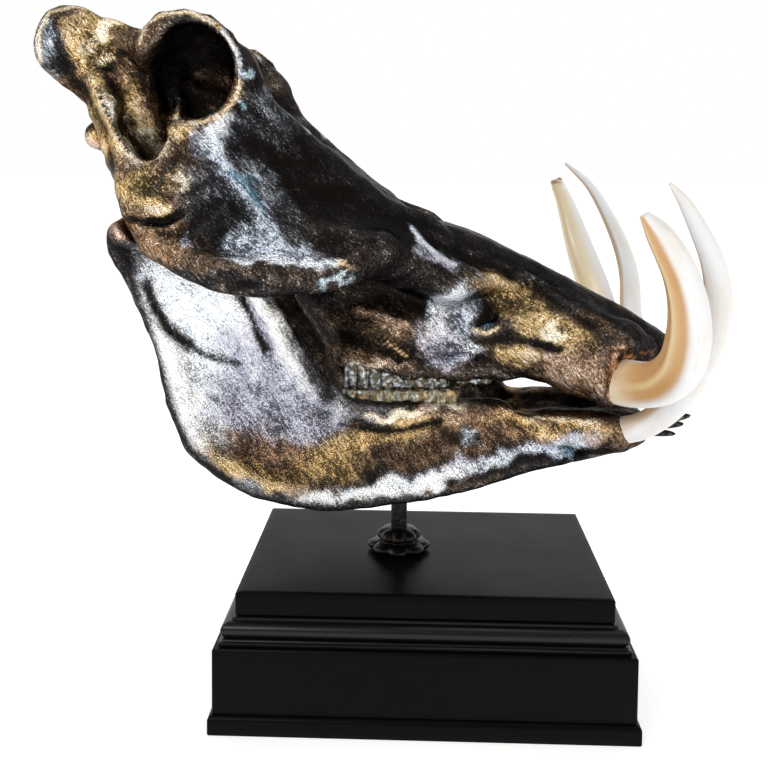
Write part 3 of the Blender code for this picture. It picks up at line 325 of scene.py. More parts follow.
def outline(points, u, v, per=6):
    """Signed distance to a smooth closed outline in the plane of u and v, negative inside."""
    p = closed_curve(points, per)
    d = np.full(np.broadcast(u, v).shape, 1e9)
    inside = np.zeros(d.shape, bool)
    for (ax, ay), (bx, by) in zip(p, np.roll(p, -1, 0)):
        ex, ey = bx - ax, by - ay
        wx, wy = u - ax, v - ay
        t = np.clip((wx * ex + wy * ey) / (ex * ex + ey * ey), 0, 1)
        d = np.minimum(d, (wx - t * ex) ** 2 + (wy - t * ey) ** 2)
        turn = ex * wy - ey * wx
        rising = (ay <= v) & (by > v) & (turn > 0)
        falling = (ay > v) & (by <= v) & (turn < 0)
        inside ^= np.broadcast_to(rising | falling, d.shape)
    d = np.sqrt(d)
    return np.where(inside, -d, d)


def relief(spots, u, v, spread):
    """Smooth height over the plane of u and v through (u, v, height) spots."""
    s = np.array(spots, float)
    n = len(s)
    apart = np.hypot(s[:, None, 0] - s[None, :, 0], s[:, None, 1] - s[None, :, 1])
    system = np.zeros((n + 3, n + 3))
    system[:n, :n] = np.hypot(apart, spread)
    system[:n, n:] = np.column_stack([np.ones(n), s[:, :2]])
    system[n:, :n] = system[:n, n:].T
    w = np.linalg.solve(system, np.append(s[:, 2], (0, 0, 0)))
    height = w[n] + w[n + 1] * u + w[n + 2] * v
    for (a, b, _), share in zip(s, w[:n]):
        height = height + share * np.sqrt((u - a) ** 2 + (v - b) ** 2 + spread**2)
    return height


def sheet(flat, over, under, r):
    """Plate inside an outline's distance and between two faces, with edges rounded by r."""
    q = flat + r
    w = np.maximum(over, under) + r
    outer = np.sqrt(np.maximum(q, 0) ** 2 + np.maximum(w, 0) ** 2)
    return outer + np.minimum(np.maximum(q, w), 0) - r


def ball(p, centre, radii, turn=None):
    """Ellipsoid, turned by a matrix where one is given."""
    d = [p[k] - centre[k] for k in range(3)]
    if turn is not None:
        d = [row[0] * d[0] + row[1] * d[1] + row[2] * d[2] for row in turn]
    near = np.sqrt(sum((d[k] / radii[k]) ** 2 for k in range(3)))
    slope = np.sqrt(sum((d[k] / radii[k] ** 2) ** 2 for k in range(3))) + 1e-9
    return near * (near - 1) / slope


def tilt(axis, degrees):
    """Turning matrix about one axis."""
    c, s = np.cos(np.radians(degrees)), np.sin(np.radians(degrees))
    turns = {
        "x": [[1, 0, 0], [0, c, s], [0, -s, c]],
        "y": [[c, 0, -s], [0, 1, 0], [s, 0, c]],
        "z": [[c, s, 0], [-s, c, 0], [0, 0, 1]],
    }
    return turns[axis]


def rod(p, joints, k):
    """Chain of tapered round links through (x, y, z, radius) joints."""
    d = None
    for first, second in zip(joints[:-1], joints[1:]):
        a = np.array(first, float)
        e = np.array(second, float) - a
        w = [p[n] - a[n] for n in range(3)]
        t = np.clip((w[0] * e[0] + w[1] * e[1] + w[2] * e[2]) / (e[:3] @ e[:3]), 0, 1)
        link = np.sqrt(sum((w[n] - t * e[n]) ** 2 for n in range(3))) - (a[3] + t * e[3])
        d = link if d is None else blend(d, link, k)
    return d


def loft(p, stations, ends, r_end):
    """Body of rounded sections across X, cut off at both ends with edges rounded by r_end."""
    x, y, z = p
    rows = spline(stations, x[:, 0, 0])
    top, bottom, wide, narrow, r = (rows[:, k][:, None, None] for k in range(5))
    share = np.clip((z - bottom) / (top - bottom), 0, 1)
    across = y - narrow - (wide - narrow) * share + r
    along = np.abs(z - (top + bottom) / 2) - (top - bottom) / 2 + r
    d = np.sqrt(np.maximum(across, 0) ** 2 + np.maximum(along, 0) ** 2)
    d = d + np.minimum(np.maximum(across, along), 0) - r
    return carve(d, -np.maximum(ends[0] - x, x - ends[1]), r_end)


def head_core(p):
    """Skull roof, braincase and snout."""
    x, y, z = p
    plan = outline(ROOF_PLAN, x[:, :, 0], y[:, :, 0])[:, :, None]
    top = relief(ROOF_TOP, x[:, :, 0], y[:, :, 0], 10.0)[:, :, None]
    d = sheet(plan, z - top, top - ROOF_DEPTH - z, 5.5)
    d = blend(d, loft(p, CASE, (-189, -80), 8), 9)
    return blend(d, loft(p, FACE, (-94, 151), 6), 10)


def nuchal_crest(d, p):
    """Flared fan across the back of the head and the ridge from it down to the jaw joint."""
    x, y, z = p
    fan = outline(FAN, y[0], z[0])[None]
    middle = relief(FAN_MID, y[0], z[0], 12.0)[None]
    half = relief(FAN_HALF, y[0], z[0], 12.0)[None]
    d = blend(d, sheet(fan, x - middle - half, middle - half - x, 6.0), 6)
    d = blend(d, ball(p, (-171, 26, 330), (14, 24, 26)), 8)
    d = blend(d, rod(p, NUCHAL_EDGE, 3), 6)
    d = blend(d, ball(p, (-158, 36, 328), (13, 14, 36), tilt("y", 28)), 6)
    d = blend(d, ball(p, (-151, 36, 316), (14, 12, 24), tilt("y", 28)), 8)
    d = blend(d, rod(p, EYE_BAR, 4), 6)
    d = blend(d, rod(p, TEMPORAL_RIDGE, 4), 6)
    d = blend(d, rod(p, JOINT_ROOT, 4), 8)
    return blend(d, ball(p, (-141, 84, 272), (11, 18, 9)), 6)


def cheek(d, p):
    """Broad cheek arch with its thick lower lip, running into the snout and the brow."""
    x, y, z = p
    flat = outline(ARCH, x[:, 0, :], z[0])[:, None, :]
    middle = relief(ARCH_MID, x[:, 0, :], z[0], 12.0)[:, None, :]
    d = blend(d, sheet(flat, y - middle - ARCH_HALF, middle - ARCH_HALF - y, 4.8), 5)
    d = blend(d, rod(p, ARCH_LIP, 3), 5)
    d = blend(d, rod(p, EYE_FLOOR, 2), 4)
    d = blend(d, rod(p, CHEEK_ROOT, 4), 12)
    d = blend(d, rod(p, BROW_SIDE, 4), 10)
    d = blend(d, ball(p, (-18, 36, 206), (34, 12, 18)), 8)
    return blend(d, rod(p, TOOTH_RIDGE, 3), 5)


def eye_and_temple(d, p):
    """Eye socket with its thin rim, and the hollow behind it that opens below inside the arch."""
    d = blend(d, ball(p, (-100, 58, 345), (10, 14, 16)), 8)
    d = blend(d, rod(p, BROW, 4), 8)
    d = carve(d, ball(p, (-121.4, 76, 348), (22.8, 27, 24.8)), 2.5)
    d = carve(d, ball(p, (-119, 55, 342), (17, 15, 16)), 5)
    d = blend(d, rod(p, EYE_RIM, 1), 2.5)
    d = carve(d, rod(p, TEMPLE, 6), 6)
    d = carve(d, ball(p, (-143, 60, 336), (8, 24, 20)), 5)
    d = blend(d, rod(p, TEMPLE_BACK, 4), 6)
    d = blend(d, rod(p, CASE_SIDE, 4), 5)
    return carve(d, rod(p, TEMPLE_EXIT, 6), 6)


def muzzle(d, p):
    """Sheaths of the upper tusks, premaxilla, and the opening of the nose."""
    x, y, z = p
    sheath = blend(rod(p, SHEATH, 6), rod(p, SHEATH_TOP, 4), 12)
    mouth = (SOCKET_MOUTH[0] - x) * 0.72 + (SOCKET_MOUTH[1] - y) * 0.66 + (z - SOCKET_MOUTH[2]) * 0.22
    d = blend(d, carve(sheath, mouth, 3), 14)
    d = blend(d, rod(p, PREMAXILLA, 4), 7)
    d = carve(d, ball(p, (60, 47, 232), (40, 12, 9), tilt("y", -14)), 8)
    d = carve(d, ball(p, (10, 0, 186), (78, 22, 7)), 5)
    d = carve(d, ball(p, (-62, 0, 214), (34, 14, 30), tilt("y", -20)), 6)
    return carve(d, rod(p, NOSE, 4), 4)


def cranium(x, y, z):
    """Signed distance to the upper skull; y is the distance from the midplane."""
    p = (x, y, z)
    d = muzzle(eye_and_temple(cheek(nuchal_crest(head_core(p), p), p), p), p)
    d = carve(d, ball(p, (-219, 22, 354), (18, 30, 22)), 8)
    d = blend(d, ball(p, (-188, 15, 316.5), (9.5, 9, 9), tilt("y", -20)), 3)
    d = carve(d, ball(p, (-202, 0, 330), (16, 9, 9)), 4)
    d = blend(d, rod(p, EAR_PROCESS, 3), 6)
    d = blend(d, ball(p, (-140, 30, 282), (13, 10, 10)), 5)
    return blend(d, rod(p, PTERYGOID, 3), 6)


def mandible(x, y, z):
    """Signed distance to the lower jaw; y is the distance from the midplane."""
    p = (x, y, z)
    flat = outline(JAW, x[:, 0, :], z[0])[:, None, :]
    middle = relief(JAW_MID, x[:, 0, :], z[0], 12.0)[:, None, :]
    half = relief(JAW_HALF, x[:, 0, :], z[0], 12.0)[:, None, :]
    d = sheet(flat, y - middle - half, middle - half - y, 5.0)
    d = blend(d, ball(p, (-153, 80, 264), (9.5, 17, 8.5)), 5)
    d = blend(d, rod(p, JAW_EDGE, 3), 6)
    d = blend(d, rod(p, JAW_SHOULDER, 3), 6)
    d = blend(d, rod(p, BRANCH_FRONT, 3), 6)
    d = blend(d, loft(p, CHIN, (36, 129), 5), 8)
    d = blend(d, rod(p, LOWER_SHEATH, 4), 7)
    d = carve(d, ball(p, (44, 0, 168), (26, 15, 16)), 7)
    d = carve(d, ball(p, (92, 0, 172), (30, 15, 12)), 6)
    return carve(d, cranium(x, y, z) - JOINT_GAP, 1.5)


def without_pinches(field):
    """Fills the grid squares whose corners alternate between bone and air, so that the skin is single."""
    field = field.copy()
    found = True
    while found:
        found = False
        for first, second in ((0, 1), (0, 2), (1, 2)):
            corners = []
            for i, j in ((0, 0), (1, 0), (1, 1), (0, 1)):
                part = [slice(None)] * 3
                part[first] = slice(i, field.shape[first] - 1 + i)
                part[second] = slice(j, field.shape[second] - 1 + j)
                corners.append(field[tuple(part)])
            a, b, c, d = [corner < 0 for corner in corners]
            pinch = (a == c) & (b == d) & (a != b)
            if pinch.any():
                found = True
                for corner in corners:
                    corner[pinch] = np.minimum(corner[pinch], -PINCH_FILL)
    return field


def contour(field, corner, cell):
    """One vertex in each cell that the zero level crosses, quads across each crossed edge."""
    inside = field < 0
    shape = np.array(field.shape) - 1
    count = np.zeros(shape, int)
    place = np.zeros((3,) + tuple(shape))
    crossed = []
    for axis in range(3):
        first, second = [slice(None)] * 3, [slice(None)] * 3
        first[axis], second[axis] = slice(0, -1), slice(1, None)
        low, high = field[tuple(first)], field[tuple(second)]
        hit = inside[tuple(first)] != inside[tuple(second)]
        share = np.where(hit, low / np.where(hit, low - high, 1), 0)
        crossed.append((hit, inside[tuple(first)]))
        side_a, side_b = [k for k in range(3) if k != axis]
        for i in (0, 1):
            for j in (0, 1):
                part = [slice(None)] * 3
                part[side_a] = slice(i, hit.shape[side_a] - 1 + i)
                part[side_b] = slice(j, hit.shape[side_b] - 1 + j)
                near = hit[tuple(part)]
                count += near
                place[axis] += share[tuple(part)]
                place[side_a] += near * i
                place[side_b] += near * j
    live = count > 0
    index = -np.ones(shape, int)
    index[live] = np.arange(live.sum())
    inner = np.stack([place[k][live] / count[live] for k in range(3)], 1)
    vertices = np.array(corner) + (inner + np.argwhere(live)) * cell
    faces = [faces_across(index, axis, *crossed[axis]) for axis in range(3)]
    return vertices, np.concatenate(faces)


def faces_across(index, axis, hit, low_inside):
    """The quads around the crossed grid edges of one direction."""
    side_a, side_b = [k for k in range(3) if k != axis]
    inner = [slice(None)] * 3
    inner[side_a] = inner[side_b] = slice(1, -1)
    at = np.argwhere(hit[tuple(inner)])
    at[:, side_a] += 1
    at[:, side_b] += 1
    corners = []
    for i, j in ((1, 1), (0, 1), (0, 0), (1, 0)):
        cell = at.copy()
        cell[:, side_a] -= i
        cell[:, side_b] -= j
        corners.append(index[cell[:, 0], cell[:, 1], cell[:, 2]])
    quads = np.stack(corners, 1)
    turned = low_inside[tuple(inner)][hit[tuple(inner)]]
    if axis == 1:
        turned = ~turned
    quads[~turned] = quads[~turned][:, ::-1]
    return quads


def side_view(v):
    """Where the line of sight from the viewpoint to a point of either side meets the picture.

    The point is turned into the viewpoint's own axes, divided by its depth and rolled about the centre."""
    x, y, z = v[:, 0] - EYE[0], -np.abs(v[:, 1]) - EYE[1], v[:, 2] - EYE[2]
    c, s = math.cos(EYE_YAW), math.sin(EYE_YAW)
    right, ahead = c * x + s * y, c * y - s * x
    u, w = FOCAL * right / ahead, -FOCAL * z / ahead
    c, s = math.cos(EYE_ROLL), math.sin(EYE_ROLL)
    return CENTRE_X + c * u - s * w, CENTRE_Y + s * u + c * w


def sampled(field, corner, cell, v):
    """Field and its slope at points, from the eight samples around each, weighted by nearness."""
    place = (v - corner) / cell
    i = np.clip(np.floor(place).astype(int), 0, np.array(field.shape) - 2)
    t = place - i
    value, slope = np.zeros(len(v)), np.zeros((len(v), 3))
    for step in np.ndindex(2, 2, 2):
        share = np.where(step, t, 1 - t)
        at = field[i[:, 0] + step[0], i[:, 1] + step[1], i[:, 2] + step[2]]
        value += share.prod(1) * at
        for k in range(3):
            others = share[:, (k + 1) % 3] * share[:, (k + 2) % 3]
            slope[:, k] += (2 * step[k] - 1) * others * at
    return value, slope / cell


def averaged(values, faces):
    """Each vertex's value replaced by the mean of its neighbours'."""
    start, end = faces.ravel(), np.roll(faces, -1, 1).ravel()
    rows = values.reshape(len(values), -1)
    total = np.stack([np.bincount(start, row[end], len(rows)) + np.bincount(end, row[start], len(rows))
                      for row in rows.T], 1)
    count = np.bincount(start, minlength=len(rows)) + np.bincount(end, minlength=len(rows))
    return (total / count[:, None]).reshape(values.shape)


def evened(v, faces, share):
    """Vertices moved towards their neighbours' mean by a share of the way."""
    return (1 - share) * v + share * averaged(v, faces)


def unit(vectors):
    """Vectors of length 1 along the rows given."""
    return vectors / np.maximum(np.linalg.norm(vectors, axis=-1, keepdims=True), 1e-6)


def facing(v, normal):
    """How far the skin faces away from the midplane: 1 straight outwards, -1 straight inwards."""
    return normal[:, 1] * np.sign(v[:, 1])


def bone_surface(form, low, high, cell):
    """Skin of a bone with its outward normals.

    The form is sampled over a half, mirrored and contoured; its vertices are evened out, and each is
    moved back to the zero level along the field's slope."""
    half = int(round(high[1] / cell))
    x = low[0] + cell * np.arange(int((high[0] - low[0]) / cell) + 1)
    z = low[2] + cell * np.arange(int((high[2] - low[2]) / cell) + 1)
    field = form(x[:, None, None], cell * np.arange(half + 1)[None, :, None], z[None, None, :])
    field = without_pinches(np.concatenate([field[:, :0:-1], field], 1))
    corner = np.array([low[0], -half * cell, low[2]])
    v, faces = contour(field, corner, cell)
    for _ in range(EVENING_ROUNDS):
        v = evened(v, faces, EVENING_SHARE)
        value, slope = sampled(field, corner, cell, v)
        size = np.maximum(np.linalg.norm(slope, axis=1), FLATTEST)
        v = v - slope * (np.clip(value / size, -FARTHEST * cell, FARTHEST * cell) / size)[:, None]
    for _ in range(SMOOTHING_ROUNDS):
        v = evened(v, faces, SMOOTHING_SHARE)
    normal = unit(sampled(field, corner, cell, v)[1])
    for _ in range(NORMAL_ROUNDS):
        normal = averaged(normal, faces)
    return v, faces, unit(normal)


def hollowness(v, faces, normal, rounds):
    """How far each vertex lies below its neighbours' mean, spread over rounds; negative on ridges."""
    bend = ((averaged(v, faces) - v) * normal).sum(1)
    for _ in range(rounds):
        bend = averaged(bend, faces)
    return bend


def lumps(v, size, seed, waves=14):
    """Smooth uneven height: a sum of sine waves in all directions with lengths near size."""
    rng = np.random.default_rng(seed)
    way = unit(rng.normal(size=(waves, 3))) * (2 * math.pi / (size * rng.uniform(0.7, 1.4, waves)))[:, None]
    return np.sin(v @ way.T + rng.uniform(0, 2 * math.pi, waves)).sum(1) / math.sqrt(waves)


def stroke(u, w, points, width):
    """1 on a drawn line of the side view, falling with the distance as a bell curve of a width."""
    p = np.array(points, float)
    near = np.full(len(u), 1e9)
    for (ax, ay), (bx, by) in zip(p[:-1], p[1:]):
        ex, ey = bx - ax, by - ay
        t = np.clip(((u - ax) * ex + (w - ay) * ey) / (ex * ex + ey * ey), 0, 1)
        near = np.minimum(near, (u - ax - t * ex) ** 2 + (w - ay - t * ey) ** 2)
    return np.exp(-near / width**2)


def spot(u, w, centre, radii, turn):
    """1 in the middle of an oval of the side view, falling smoothly to 0 at 1.3 times its radii."""
    c, s = math.cos(math.radians(turn)), math.sin(math.radians(turn))
    a, b = u - centre[0], w - centre[1]
    t = np.clip(1.1 - 0.62 * (((c * a + s * b) / radii[0]) ** 2 + ((c * b - s * a) / radii[1]) ** 2), 0, 1)
    return t * t * (3 - 2 * t)


def add_piece(name, v, faces, material, nodes, attributes=None):
    """A piece of the skin in place of solids, with its numbers or colours per vertex."""
    mesh = bpy.data.meshes.new(name)
    mesh.from_pydata((np.asarray(v, float) * MM).tolist(), [], [list(face) for face in faces])
    mesh.polygons.foreach_set("use_smooth", [True] * len(mesh.polygons))
    for label, values in (attributes or {}).items():
        if values.ndim == 2:
            layer = mesh.attributes.new(label, "FLOAT_COLOR", "POINT")
            colours = np.column_stack([values, np.ones(len(v))])
            layer.data.foreach_set("color", colours.astype(np.float32).ravel())
        else:
            layer = mesh.attributes.new(label, "FLOAT", "POINT")
            layer.data.foreach_set("value", values.astype(np.float32))
    mesh.materials.append(material)
    mesh.update()
    made = bpy.data.objects.new(name, mesh)
    bpy.context.scene.collection.objects.link(made)
    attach(made, "root")
    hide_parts(*nodes)
    return made


class Sum:
    """A number in a shader; arithmetic on it adds Math nodes."""

    def __init__(self, tree, socket):
        self.tree, self.socket = tree, socket

    def math(self, operation, first, second):
        """The result of a Math node on two numbers of either kind."""
        node = self.tree.nodes.new("ShaderNodeMath")
        node.operation = operation
        for place, value in enumerate((first, second)):
            if isinstance(value, Sum):
                self.tree.links.new(value.socket, node.inputs[place])
            else:
                node.inputs[place].default_value = value
        return Sum(self.tree, node.outputs[0])

    def __add__(self, other):
        return self.math("ADD", self, other)

    def __mul__(self, other):
        return self.math("MULTIPLY", self, other)

    def __sub__(self, other):
        return self.math("SUBTRACT", self, other)

    def __rsub__(self, other):
        return self.math("SUBTRACT", other, self)

    __radd__, __rmul__ = __add__, __mul__


class Shader:
    """A Principled material and short ways to add nodes to it."""

    def __init__(self, name, **constants):
        self.material = bpy.data.materials.new(name)
        self.material.use_nodes = True
        self.tree = self.material.node_tree
        self.main = self.tree.nodes["Principled BSDF"]
        for label, value in constants.items():
            self.main.inputs[label.replace("_", " ")].default_value = value

    def node(self, kind, settings=None, inputs=None):
        """A node of a kind with its settings, then the values or links of its sockets."""
        made = self.tree.nodes.new("ShaderNode" + kind)
        for label, value in (settings or {}).items():
            setattr(made, label, value)
        for label, value in (inputs or {}).items():
            link = value.socket if isinstance(value, Sum) else value
            if isinstance(link, bpy.types.NodeSocket):
                self.tree.links.new(link, made.inputs[label])
            else:
                made.inputs[label].default_value = link
        return made

    def noise(self, scale, detail=2.0, stretch=1.0, lean=0.0):
        """Noise on object coordinates, drawn out along X after leaning it about Y."""
        place = self.node("TexCoord").outputs["Object"]
        inputs = {"Vector": place, "Rotation": (0, lean, 0), "Scale": (stretch, 1, 1)}
        moved = self.node("Mapping", {"vector_type": "TEXTURE"}, inputs).outputs[0]
        inputs = {"Vector": moved, "Scale": scale, "Detail": detail, "Roughness": NOISE_ROUGHNESS}
        return Sum(self.tree, self.node("TexNoise", None, inputs).outputs["Fac"])

    def steps(self, value, low, high):
        """0 below low and 1 above high, smooth between."""
        settings = {"interpolation_type": "SMOOTHSTEP"}
        inputs = {"Value": value, "From Min": low, "From Max": high}
        return Sum(self.tree, self.node("MapRange", settings, inputs).outputs[0])

    def mixed(self, share, first, second, blend="MIX"):
        """A colour between two others."""
        settings = {"data_type": "RGBA", "blend_type": blend}
        return self.node("Mix", settings, {0: share, 6: first, 7: second}).outputs[2]

    def attribute(self, name, output):
        """A vertex attribute as a colour, or as a number."""
        socket = self.node("Attribute", {"attribute_name": name}).outputs[output]
        return socket if output == "Color" else Sum(self.tree, socket)

    def bump(self, height, distance, strength, under=None):
        """A bumped normal, over another one where it is given."""
        inputs = {"Height": height, "Distance": distance, "Strength": strength}
        if under is not None:
            inputs["Normal"] = under
        return self.node("Bump", None, inputs).outputs[0]

    def into(self, label, value):
        """Links a colour, a number or a normal to an input of the surface."""
        self.tree.links.new(value.socket if isinstance(value, Sum) else value, self.main.inputs[label])


# Colours of the bright flecks: the coat's own tones, also used for painted light (white, silver, violet and
# gold for painted highlights and reflections, night for painted shade)
COLOURS = {
    "brown": (0.200, 0.130, 0.080),
    "gold": (0.70, 0.48, 0.21),
    "pale": (0.98, 0.84, 0.58),
    "bronze": (0.40, 0.25, 0.15),
    "white": (0.86, 0.91, 0.98),
    "silver": (0.64, 0.71, 0.84),
    "violet": (0.50, 0.51, 0.63),
    "steel": (0.30, 0.33, 0.38),
    "rust": (0.50, 0.20, 0.07),
    "teal": (0.17, 0.32, 0.43),
    "olive": (0.34, 0.27, 0.15),
    "night": (0.060, 0.058, 0.062),
}

# Colour and share of the flecks on skin that faces inwards
INNER_TINT, INNER_SHARE = (0.13, 0.10, 0.08), 0.16

GROUND_COLOUR = (0.0062, 0.0048, 0.0042, 1)
SPARK_COLOUR = (1.0, 0.98, 0.95, 1)
NOISE_ROUGHNESS = 0.6
FLECK_FROM, FLECK_FULL = 0.24, 0.76  # levels between which a fleck appears
SPARK_FROM, SPARK_FULL = 0.78, 1.05  # and a bright spark in it
GRAIN_WEIGHT, CLOUD_WEIGHT = 2.0, 0.9  # of the fine and the coarse noise in that level

# Waves in the borders of the areas: size in mm, shift in pixels
BROAD_WAVE, BROAD_SHIFT = 24, 5.0
FINE_WAVE, FINE_SHIFT = 8, 2.6
# Flecks gained on ridges, and fewer in hollows as painted shade: how much per hollowness, and most
RIDGE_GAIN, RIDGE_MOST = 2.0, 0.30
HOLLOW_SHADE_LOSS, HOLLOW_SHADE_MOST = 1.2, 0.16
HOLLOW_SCALE = 6.0  # from hollowness in cells to the number that these two work on
CLOUD_SIZE, CLOUD_SHARE = 14, 0.04  # of soft patches in the share of flecks

UNEVENNESS = [(9, 0.16), (26, 0.30), (5, 0.05)]  # lumps of the skin: size, height

# Areas of colour: colour, centre, radii, turn, share of flecks; a later one lies over an earlier.
# Besides the coat's own tones they hold painted light: painted highlights and reflections of the lamps
# (white, silver, violet, gold) and painted shade on surfaces turned from the lamps, under the cheek's lip
# and in holes (night, brown).
CRANIUM_AREAS = [
    ("brown", (150, 150), (130, 160), 0, 0.18),
    # Painted shade along the brow and the top of the snout
    ("night", (345, 165), (170, 52), 38, 0.06),
    ("night", (560, 290), (140, 17), 29, 0.06),
    ("night", (212, 56), (46, 48), 10, 0.12),
    ("gold", (98, 44), (28, 32), 40, 0.34),
    ("pale", (104, 36), (8, 19), 55, 0.64),
    ("pale", (106, 62), (11, 5), 20, 0.62),
    ("steel", (60, 52), (15, 28), -8, 0.22),
    ("silver", (62, 36), (6, 12), 0, 0.46),
    ("night", (70, 68), (9, 12), -20, 0.16),
    ("brown", (134, 44), (13, 20), 35, 0.26),
    ("bronze", (130, 72), (17, 12), 40, 0.46),
    ("gold", (112, 116), (12, 46), -22, 0.38),
    ("olive", (130, 128), (12, 36), -26, 0.62),
    ("gold", (146, 116), (9, 36), -24, 0.54),
    ("pale", (150, 132), (4, 13), -30, 0.84),
    ("brown", (162, 96), (9, 26), -10, 0.16),
    ("olive", (150, 150), (15, 14), 0, 0.62),
    ("gold", (104, 143), (15, 16), 0, 0.38),
    ("rust", (103, 148), (7, 8), 0, 0.72),
    ("brown", (135, 190), (46, 36), 0, 0.26),
    ("gold", (146, 190), (28, 20), 10, 0.30),
    ("pale", (188, 176), (10, 13), 0, 0.84),
    ("gold", (163, 204), (18, 8), 25, 0.72),
    ("gold", (188, 130), (24, 9), 8, 0.48),
    ("brown", (196, 158), (20, 26), 0, 0.38),
    ("night", (200, 78), (36, 36), 0, 0.03),
    ("bronze", (219, 90), (24, 18), 20, 0.20),
    ("violet", (204, 140), (13, 16), 10, 0.46),
    ("white", (222, 136), (13, 22), 20, 0.92),
    ("steel", (252, 200), (54, 60), -32, 0.28),
    ("silver", (234, 172), (10, 36), -28, 0.62),
    ("silver", (262, 210), (12, 46), -32, 0.44),
    ("teal", (250, 190), (8, 34), -30, 0.50),
    ("silver", (266, 246), (50, 11), 8, 0.56),
    ("night", (214, 222), (22, 26), 20, 0.16),
    ("bronze", (160, 240), (36, 20), 22, 0.26),
    ("violet", (188, 244), (8, 8), 0, 0.50),
    # Painted highlight along the top of the cheek's lip, and painted shade under it
    ("white", (288, 262), (60, 7), 3, 0.72),
    ("night", (240, 288), (130, 9), 8, 0.10),
    ("teal", (340, 280), (17, 4), -18, 0.72),
    ("gold", (348, 266), (14, 4), 0, 0.86),
    ("teal", (250, 80), (5, 6), 0, 0.80),
    ("teal", (242, 104), (6, 6), 0, 0.80),
    ("silver", (245, 128), (12, 14), 40, 0.36),
    ("night", (300, 175), (80, 22), 40, 0.05),
    ("steel", (275, 118), (26, 20), 50, 0.14),
    ("silver", (432, 245), (32, 6), 40, 0.44),
    ("violet", (436, 258), (18, 7), 35, 0.36),
    ("night", (400, 290), (46, 30), 30, 0.12),
    ("silver", (448, 322), (24, 42), 28, 0.56),
    ("violet", (440, 345), (28, 22), 0, 0.56),
    ("white", (440, 310), (10, 20), 35, 0.70),
    ("white", (468, 346), (20, 9), 30, 0.64),
    ("gold", (515, 296), (46, 18), 30, 0.42),
    ("gold", (548, 322), (52, 24), 28, 0.40),
    ("pale", (553, 328), (11, 7), 20, 0.92),
    ("brown", (590, 322), (46, 10), 30, 0.24),
    ("bronze", (570, 372), (46, 20), 15, 0.42),
    ("gold", (510, 352), (24, 11), 10, 0.46),
    ("night", (542, 344), (18, 8), 8, 0.06),
    # Painted shade in the hole below the eye
    ("night", (484, 318), (12, 8), -10, 0.0),
    ("teal", (482, 321), (7, 4), 0, 0.60),
    ("rust", (617, 378), (6, 26), 0, 0.76),
    ("rust", (630, 355), (20, 5), 0, 0.76),
    ("brown", (375, 330), (46, 40), 0, 0.20),
    ("bronze", (380, 318), (34, 7), 20, 0.46),
    ("bronze", (376, 364), (26, 5), 8, 0.66),
]
# Areas of the lower jaw, the same way: its own tones, with painted highlights on the branch (white, silver,
# violet) and painted shade along its edges (night)
MANDIBLE_AREAS = [
    ("steel", (220, 370), (150, 140), 0, 0.40),
    ("white", (206, 330), (92, 96), -25, 0.80),
    ("white", (190, 400), (60, 70), -30, 0.80),
    ("violet", (255, 352), (28, 40), -35, 0.74),
    ("violet", (268, 410), (66, 44), 30, 0.60),
    ("violet", (300, 430), (50, 30), 20, 0.48),
    ("bronze", (280, 462), (70, 24), 15, 0.40),
    ("gold", (250, 470), (54, 12), 22, 0.42),
    ("gold", (330, 462), (40, 20), -10, 0.40),
    ("gold", (390, 436), (60, 18), -8, 0.48),
    ("brown", (420, 450), (70, 14), -8, 0.36),
    ("pale", (415, 409), (52, 6), -3, 0.84),
    ("bronze", (540, 425), (90, 20), 4, 0.36),
    ("gold", (556, 424), (60, 8), 6, 0.50),
    ("violet", (480, 462), (110, 10), -12, 0.46),
    ("white", (400, 484), (110, 10), -13, 0.72),
    ("silver", (520, 456), (60, 8), -12, 0.60),
    ("night", (560, 462), (80, 10), -10, 0.10),
    ("silver", (476, 432), (11, 8), 0, 0.46),
    ("teal", (564, 449), (9, 5), 0, 0.80),
    ("rust", (125, 230), (24, 9), -20, 0.70),
    ("night", (118, 258), (14, 26), -20, 0.14),
    ("rust", (430, 406), (7, 7), 0, 0.70),
    ("brown", (470, 397), (12, 6), 0, 0.36),
    ("brown", (640, 440), (26, 16), 0, 0.24),
]

# Drawn lines over the areas: colour, points, width, share of flecks. Gold and silver lines are mostly
# painted highlights along ridges and rims; night lines are painted shade in creases, grooves and the slit of
# the jaw joint
CRANIUM_LINES = [
    ("gold", [(48, 64), (47, 38), (58, 16), (84, 10), (112, 16), (132, 26)], 1.8, 0.70),
    ("gold", [(146, 44), (152, 28), (170, 18), (196, 16), (222, 28), (240, 52)], 2.2, 0.84),
    ("silver", [(228, 34), (242, 56), (245, 80)], 1.8, 0.84),
    ("gold", [(245, 84), (238, 104), (222, 118), (204, 124), (190, 120), (168, 118)], 2.4, 0.70),
    ("gold", [(100, 84), (110, 112), (120, 138), (138, 160), (152, 164), (166, 146)], 2.2, 0.80),
    ("night", [(103, 90), (112, 112), (122, 134), (134, 152)], 1.1, 0.0),
    ("night", [(105, 70), (118, 71)], 1.4, 0.0),
    ("silver", [(286, 103), (296, 114), (308, 128), (312, 133)], 1.6, 0.92),
    ("silver", [(412, 228), (438, 256), (456, 264)], 2.0, 0.90),
    ("night", [(436, 242), (472, 256), (512, 274), (548, 298), (596, 328)], 1.6, 0.10),
    ("night", [(480, 262), (512, 272), (545, 290), (572, 310)], 1.1, 0.0),
    ("gold", [(388, 342), (407, 355)], 1.5, 0.88),
    ("gold", [(474, 329), (487, 333), (498, 327)], 1.8, 0.95),
    # Painted shade in the slit of the jaw joint
    ("night", [(134, 219), (150, 222), (168, 221), (184, 213)], 2.4, 0.0),
    ("brown", [(610, 350), (632, 352), (648, 358)], 2.2, 0.10),
]
